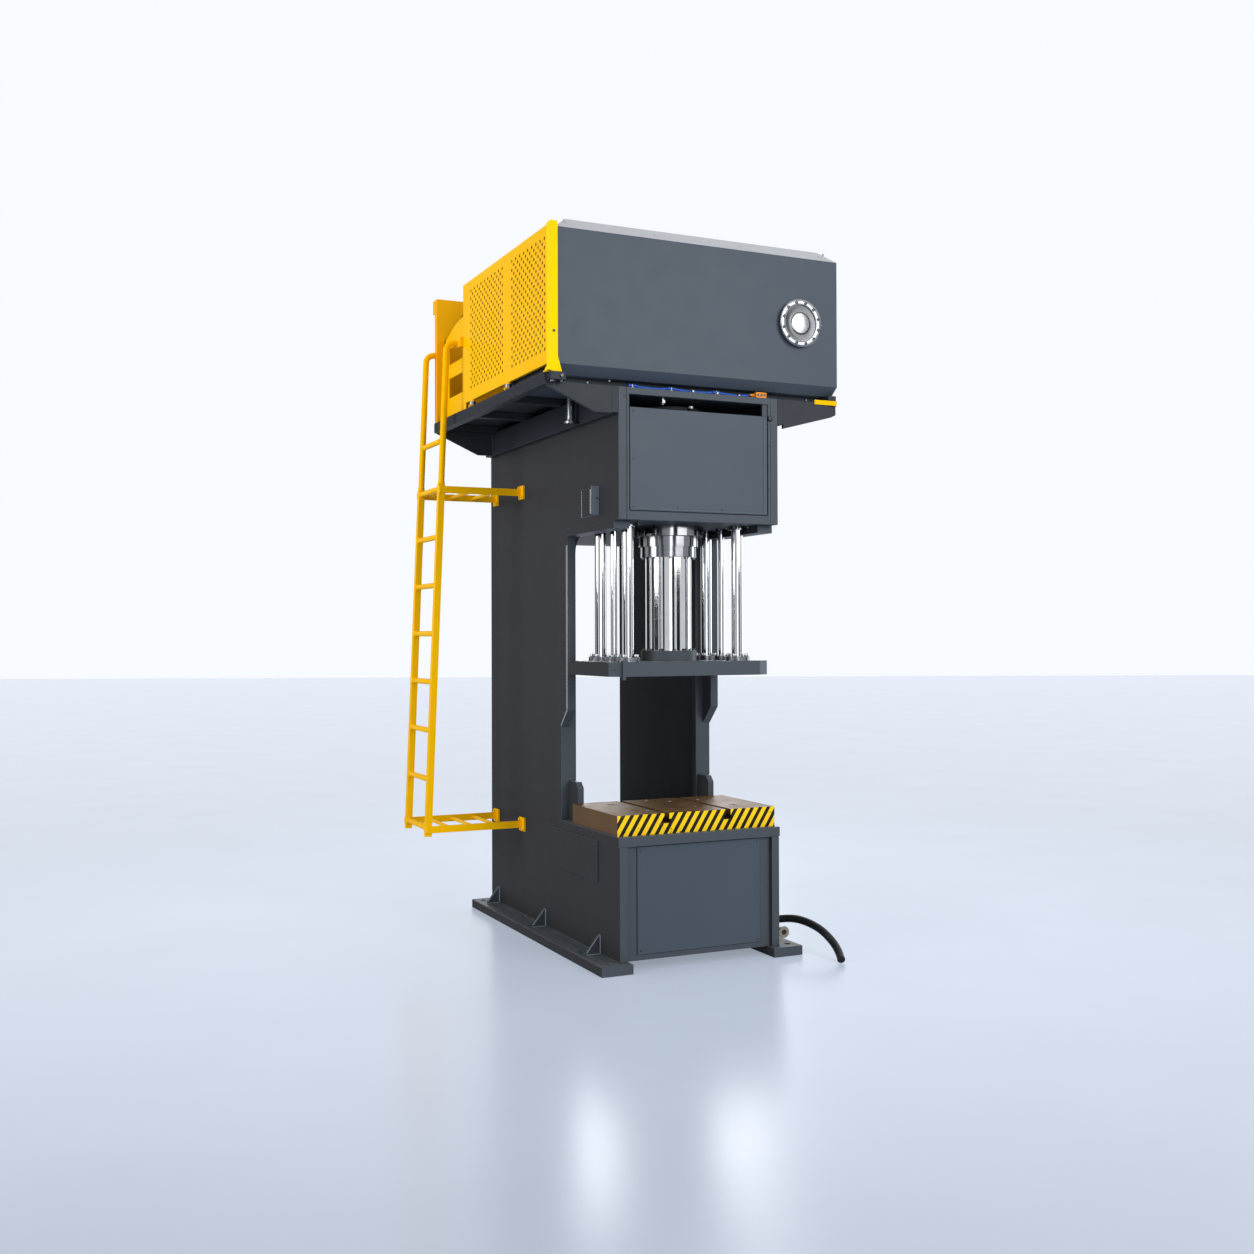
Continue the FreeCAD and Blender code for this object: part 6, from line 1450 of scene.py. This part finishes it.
# Name, place, target, width, height, watts and colour of each soft lamp.
LAMPS = (
    ("key_softbox", (2.4, -7.5, 4.6), (0, -0.4, 1.9), 4.5, 4.5, 74, "FFFFFF"),
    ("front_softbox", (-2.2, -8.5, 2.6), (0, -0.6, 1.7), 1.2, 4.0, 18, "F3F7FF"),
    ("right_softbox", (7.5, 0.5, 3.4), (0, 0, 2.0), 2.0, 4.0, 34, "F0F5FF"),
    ("left_softbox", (-8.0, -0.5, 4.2), (-0.8, 0, 2.6), 3.0, 4.0, 66, "FFFFFF"),
    ("rear_softbox", (4.0, 8.0, 4.5), (0, 0, 2.2), 3.0, 4.0, 34, "FFFFFF"),
    ("top_softbox", (0.0, -0.5, 8.0), (0, 0, 2.0), 5.0, 5.0, 24, "FFFFFF"),
)
LAMP_SPREAD = math.radians(75)

# The dark cards' lower and upper edges, in metres.
CARD_FOOT, CARD_TOP = 0.02, 5.0

# Name, centre and width in metres of the dark cards that polished steel and the floor mirror.
CARDS = (
    ("left_card", (-9.8, 0.8), 7.0), ("front_left_card", (-6.4, -5.8), 1.2),
    ("middle_card", (-0.7, -9.8), 2.0), ("right_card", (3.2, -8.4), 2.6),
    ("far_right_card", (6.8, -2.8), 1.8),
)


def stage_sheet(scene, name, corners, material):
    """A flat sheet that belongs to the stage."""
    bm = bmesh.new()
    bm.faces.new([bm.verts.new(corner) for corner in corners])
    mesh = bpy.data.meshes.new(name)
    bm.to_mesh(mesh)
    bm.free()
    mesh.materials.append(material)
    made = bpy.data.objects.new(name, mesh)
    scene.collection.objects.link(made)
    return made


class PRESS_OT_stage(bpy.types.Operator):
    """Set up the camera, the pale floor and surroundings, the dark cards and the soft lamps"""
    bl_idname = "press.stage"
    bl_label = "Stage"

    def execute(self, context):
        scene = context.scene
        scene.view_settings.view_transform = "Standard"
        self.camera(scene)
        self.floor(scene)
        self.world(scene)
        self.cards(scene)
        for name, spot, target, width, height, power, tint in LAMPS:
            lamp = bpy.data.lights.new(name, "AREA")
            lamp.shape = "RECTANGLE"
            lamp.size, lamp.size_y = width, height
            lamp.energy = power
            lamp.spread = LAMP_SPREAD
            lamp.color = hex_colour(tint)[:3]
            made = bpy.data.objects.new(name, lamp)
            made.location = spot
            made.rotation_mode = "QUATERNION"
            made.rotation_quaternion = (Vector(target) - Vector(spot)).to_track_quat("-Z", "Y")
            scene.collection.objects.link(made)
        return {"FINISHED"}

    def camera(self, scene):
        yaw, pitch, roll = (math.radians(a) for a in (CAMERA_YAW, CAMERA_PITCH, CAMERA_ROLL))
        ahead = Vector((math.sin(yaw) * math.cos(pitch), math.cos(yaw) * math.cos(pitch),
                        math.sin(pitch)))
        level = Vector((math.cos(yaw), -math.sin(yaw), 0))
        over = level.cross(ahead)
        right = level * math.cos(roll) + over * math.sin(roll)
        up = over * math.cos(roll) - level * math.sin(roll)
        lens = bpy.data.cameras.new("shop_camera")
        lens.lens = CAMERA_LENS
        lens.sensor_width = 36
        lens.clip_end = 200
        made = bpy.data.objects.new("shop_camera", lens)
        scene.collection.objects.link(made)
        turned = Matrix((right, up, -ahead)).transposed().to_4x4()
        made.matrix_world = Matrix.Translation(CAMERA_PLACE) @ turned
        scene.camera = made

    def floor(self, scene):
        """A level floor whose far edge lies square to the view."""
        material, tree, place = new_material("pale_epoxy_floor")
        colour = paint_of("floor")
        clouds = add_node(tree, "ShaderNodeTexNoise", {
            "Vector": place, "Scale": per_metre(900), "Detail": 5})
        cloud_share = add_node(tree, "ShaderNodeMapRange", {"Value": clouds, **MIDDLE})
        resin = add_node(tree, "ShaderNodeMix", {
            SHARE: cloud_share, FIRST: shade(colour, 0.96), SECOND: colour}, data_type="RGBA")
        paint = add_node(tree, "ShaderNodeVectorMath", {
            0: resin.outputs[2], "Scale": 0.45}, operation="SCALE")
        shader = add_node(tree, "ShaderNodeBsdfPrincipled", {
            "Base Color": paint, "Roughness": 0.24, "Specular IOR Level": 0.35,
            "Emission Color": resin.outputs[2], "Emission Strength": 0.42})
        add_node(tree, "ShaderNodeOutputMaterial", {"Surface": shader})
        yaw = math.radians(CAMERA_YAW)
        ahead = Vector((math.sin(yaw), math.cos(yaw), 0))
        across_view = Vector((math.cos(yaw), -math.sin(yaw), 0))
        foot = Vector((CAMERA_PLACE.x, CAMERA_PLACE.y, 0))
        stage_sheet(scene, "floor", [foot + ahead * deep + across_view * wide for deep, wide in (
            (-FLOOR_BEHIND, -FLOOR_HALF), (-FLOOR_BEHIND, FLOOR_HALF),
            (FLOOR_AHEAD, FLOOR_HALF), (FLOOR_AHEAD, -FLOOR_HALF))], material)

    def cards(self, scene):
        """Dark upright cards that show only in reflections: the chrome's dark bands."""
        felt = moulded("black_card_felt", hex_colour("0C0D0F"), 0.85)
        target = Vector((0, CYLINDER_Y, 0))
        for name, (x, y), width in CARDS:
            centre = Vector((x, y, 0))
            along = Z.cross(target - centre).normalized() * width / 2
            made = stage_sheet(scene, name, [centre + along * side + Z * height for side, height in (
                (-1, CARD_FOOT), (1, CARD_FOOT), (1, CARD_TOP), (-1, CARD_TOP))], felt)
            made.visible_camera = False
            made.visible_diffuse = False
            made.visible_shadow = False

    def world(self, scene):
        """Even pale surroundings: white to the eye and in metal, softer as a light."""
        world = bpy.data.worlds.new("pale_surroundings")
        scene.world = world
        world.use_nodes = True
        tree = world.node_tree
        tree.nodes.clear()
        path = add_node(tree, "ShaderNodeLightPath")
        seen = add_node(tree, "ShaderNodeMath", {
            0: path.outputs["Is Camera Ray"], 1: path.outputs["Is Glossy Ray"]},
            operation="MAXIMUM")
        seen = add_node(tree, "ShaderNodeMath", {
            0: seen, 1: path.outputs["Is Transmission Ray"]}, operation="MAXIMUM")
        strength = add_node(tree, "ShaderNodeMapRange", {
            "Value": seen, "To Min": WORLD_LIGHT, "To Max": 1.0})
        glow = add_node(tree, "ShaderNodeBackground", {
            "Color": hex_colour("F8FBFF"), "Strength": strength})
        add_node(tree, "ShaderNodeOutputWorld", {"Surface": glow})


OPERATORS = (
    PRESS_OT_stage, PRESS_OT_hose, PRESS_OT_steelwork, PRESS_OT_left_guard,
    PRESS_OT_corner_fittings, PRESS_OT_sockets, PRESS_OT_gate, PRESS_OT_air_line, PRESS_OT_covers,
    PRESS_OT_side_bracket, PRESS_OT_slide_guides, PRESS_OT_bolster_plugs, PRESS_OT_manhole,
    PRESS_OT_tank_rivets, PRESS_OT_slide_bolts, PRESS_OT_gland_bolts, PRESS_OT_roof_bolts,
    PRESS_OT_motor, PRESS_OT_pump, PRESS_OT_valves, PRESS_OT_pipe_unions, PRESS_OT_seams)


class PRESS_PT_panel(bpy.types.Panel):
    """Steps and settings of the press"""
    bl_idname = "PRESS_PT_panel"
    bl_label = "Hydraulic press"
    bl_space_type = "VIEW_3D"
    bl_region_type = "UI"
    bl_category = "Press"

    def draw(self, context):
        for operator in OPERATORS:
            self.layout.operator(operator.bl_idname)
        for settings in (context.scene.press_colours, context.scene.press_sizes):
            box = self.layout.box()
            for name in settings.__annotations__:
                box.prop(settings, name)


CLASSES = (PRESS_PG_colours, PRESS_PG_sizes) + OPERATORS + (PRESS_PT_panel,)


def register():
    for made in CLASSES:
        bpy.utils.register_class(made)
    bpy.types.Scene.press_colours = bpy.props.PointerProperty(type=PRESS_PG_colours)
    bpy.types.Scene.press_sizes = bpy.props.PointerProperty(type=PRESS_PG_sizes)


def unregister():
    del bpy.types.Scene.press_colours
    del bpy.types.Scene.press_sizes
    for made in reversed(CLASSES):
        bpy.utils.unregister_class(made)


def main():
    register()
    for operator in OPERATORS:
        group, name = operator.bl_idname.split(".")
        getattr(getattr(bpy.ops, group), name)()


if __name__ == "__main__":
    main()
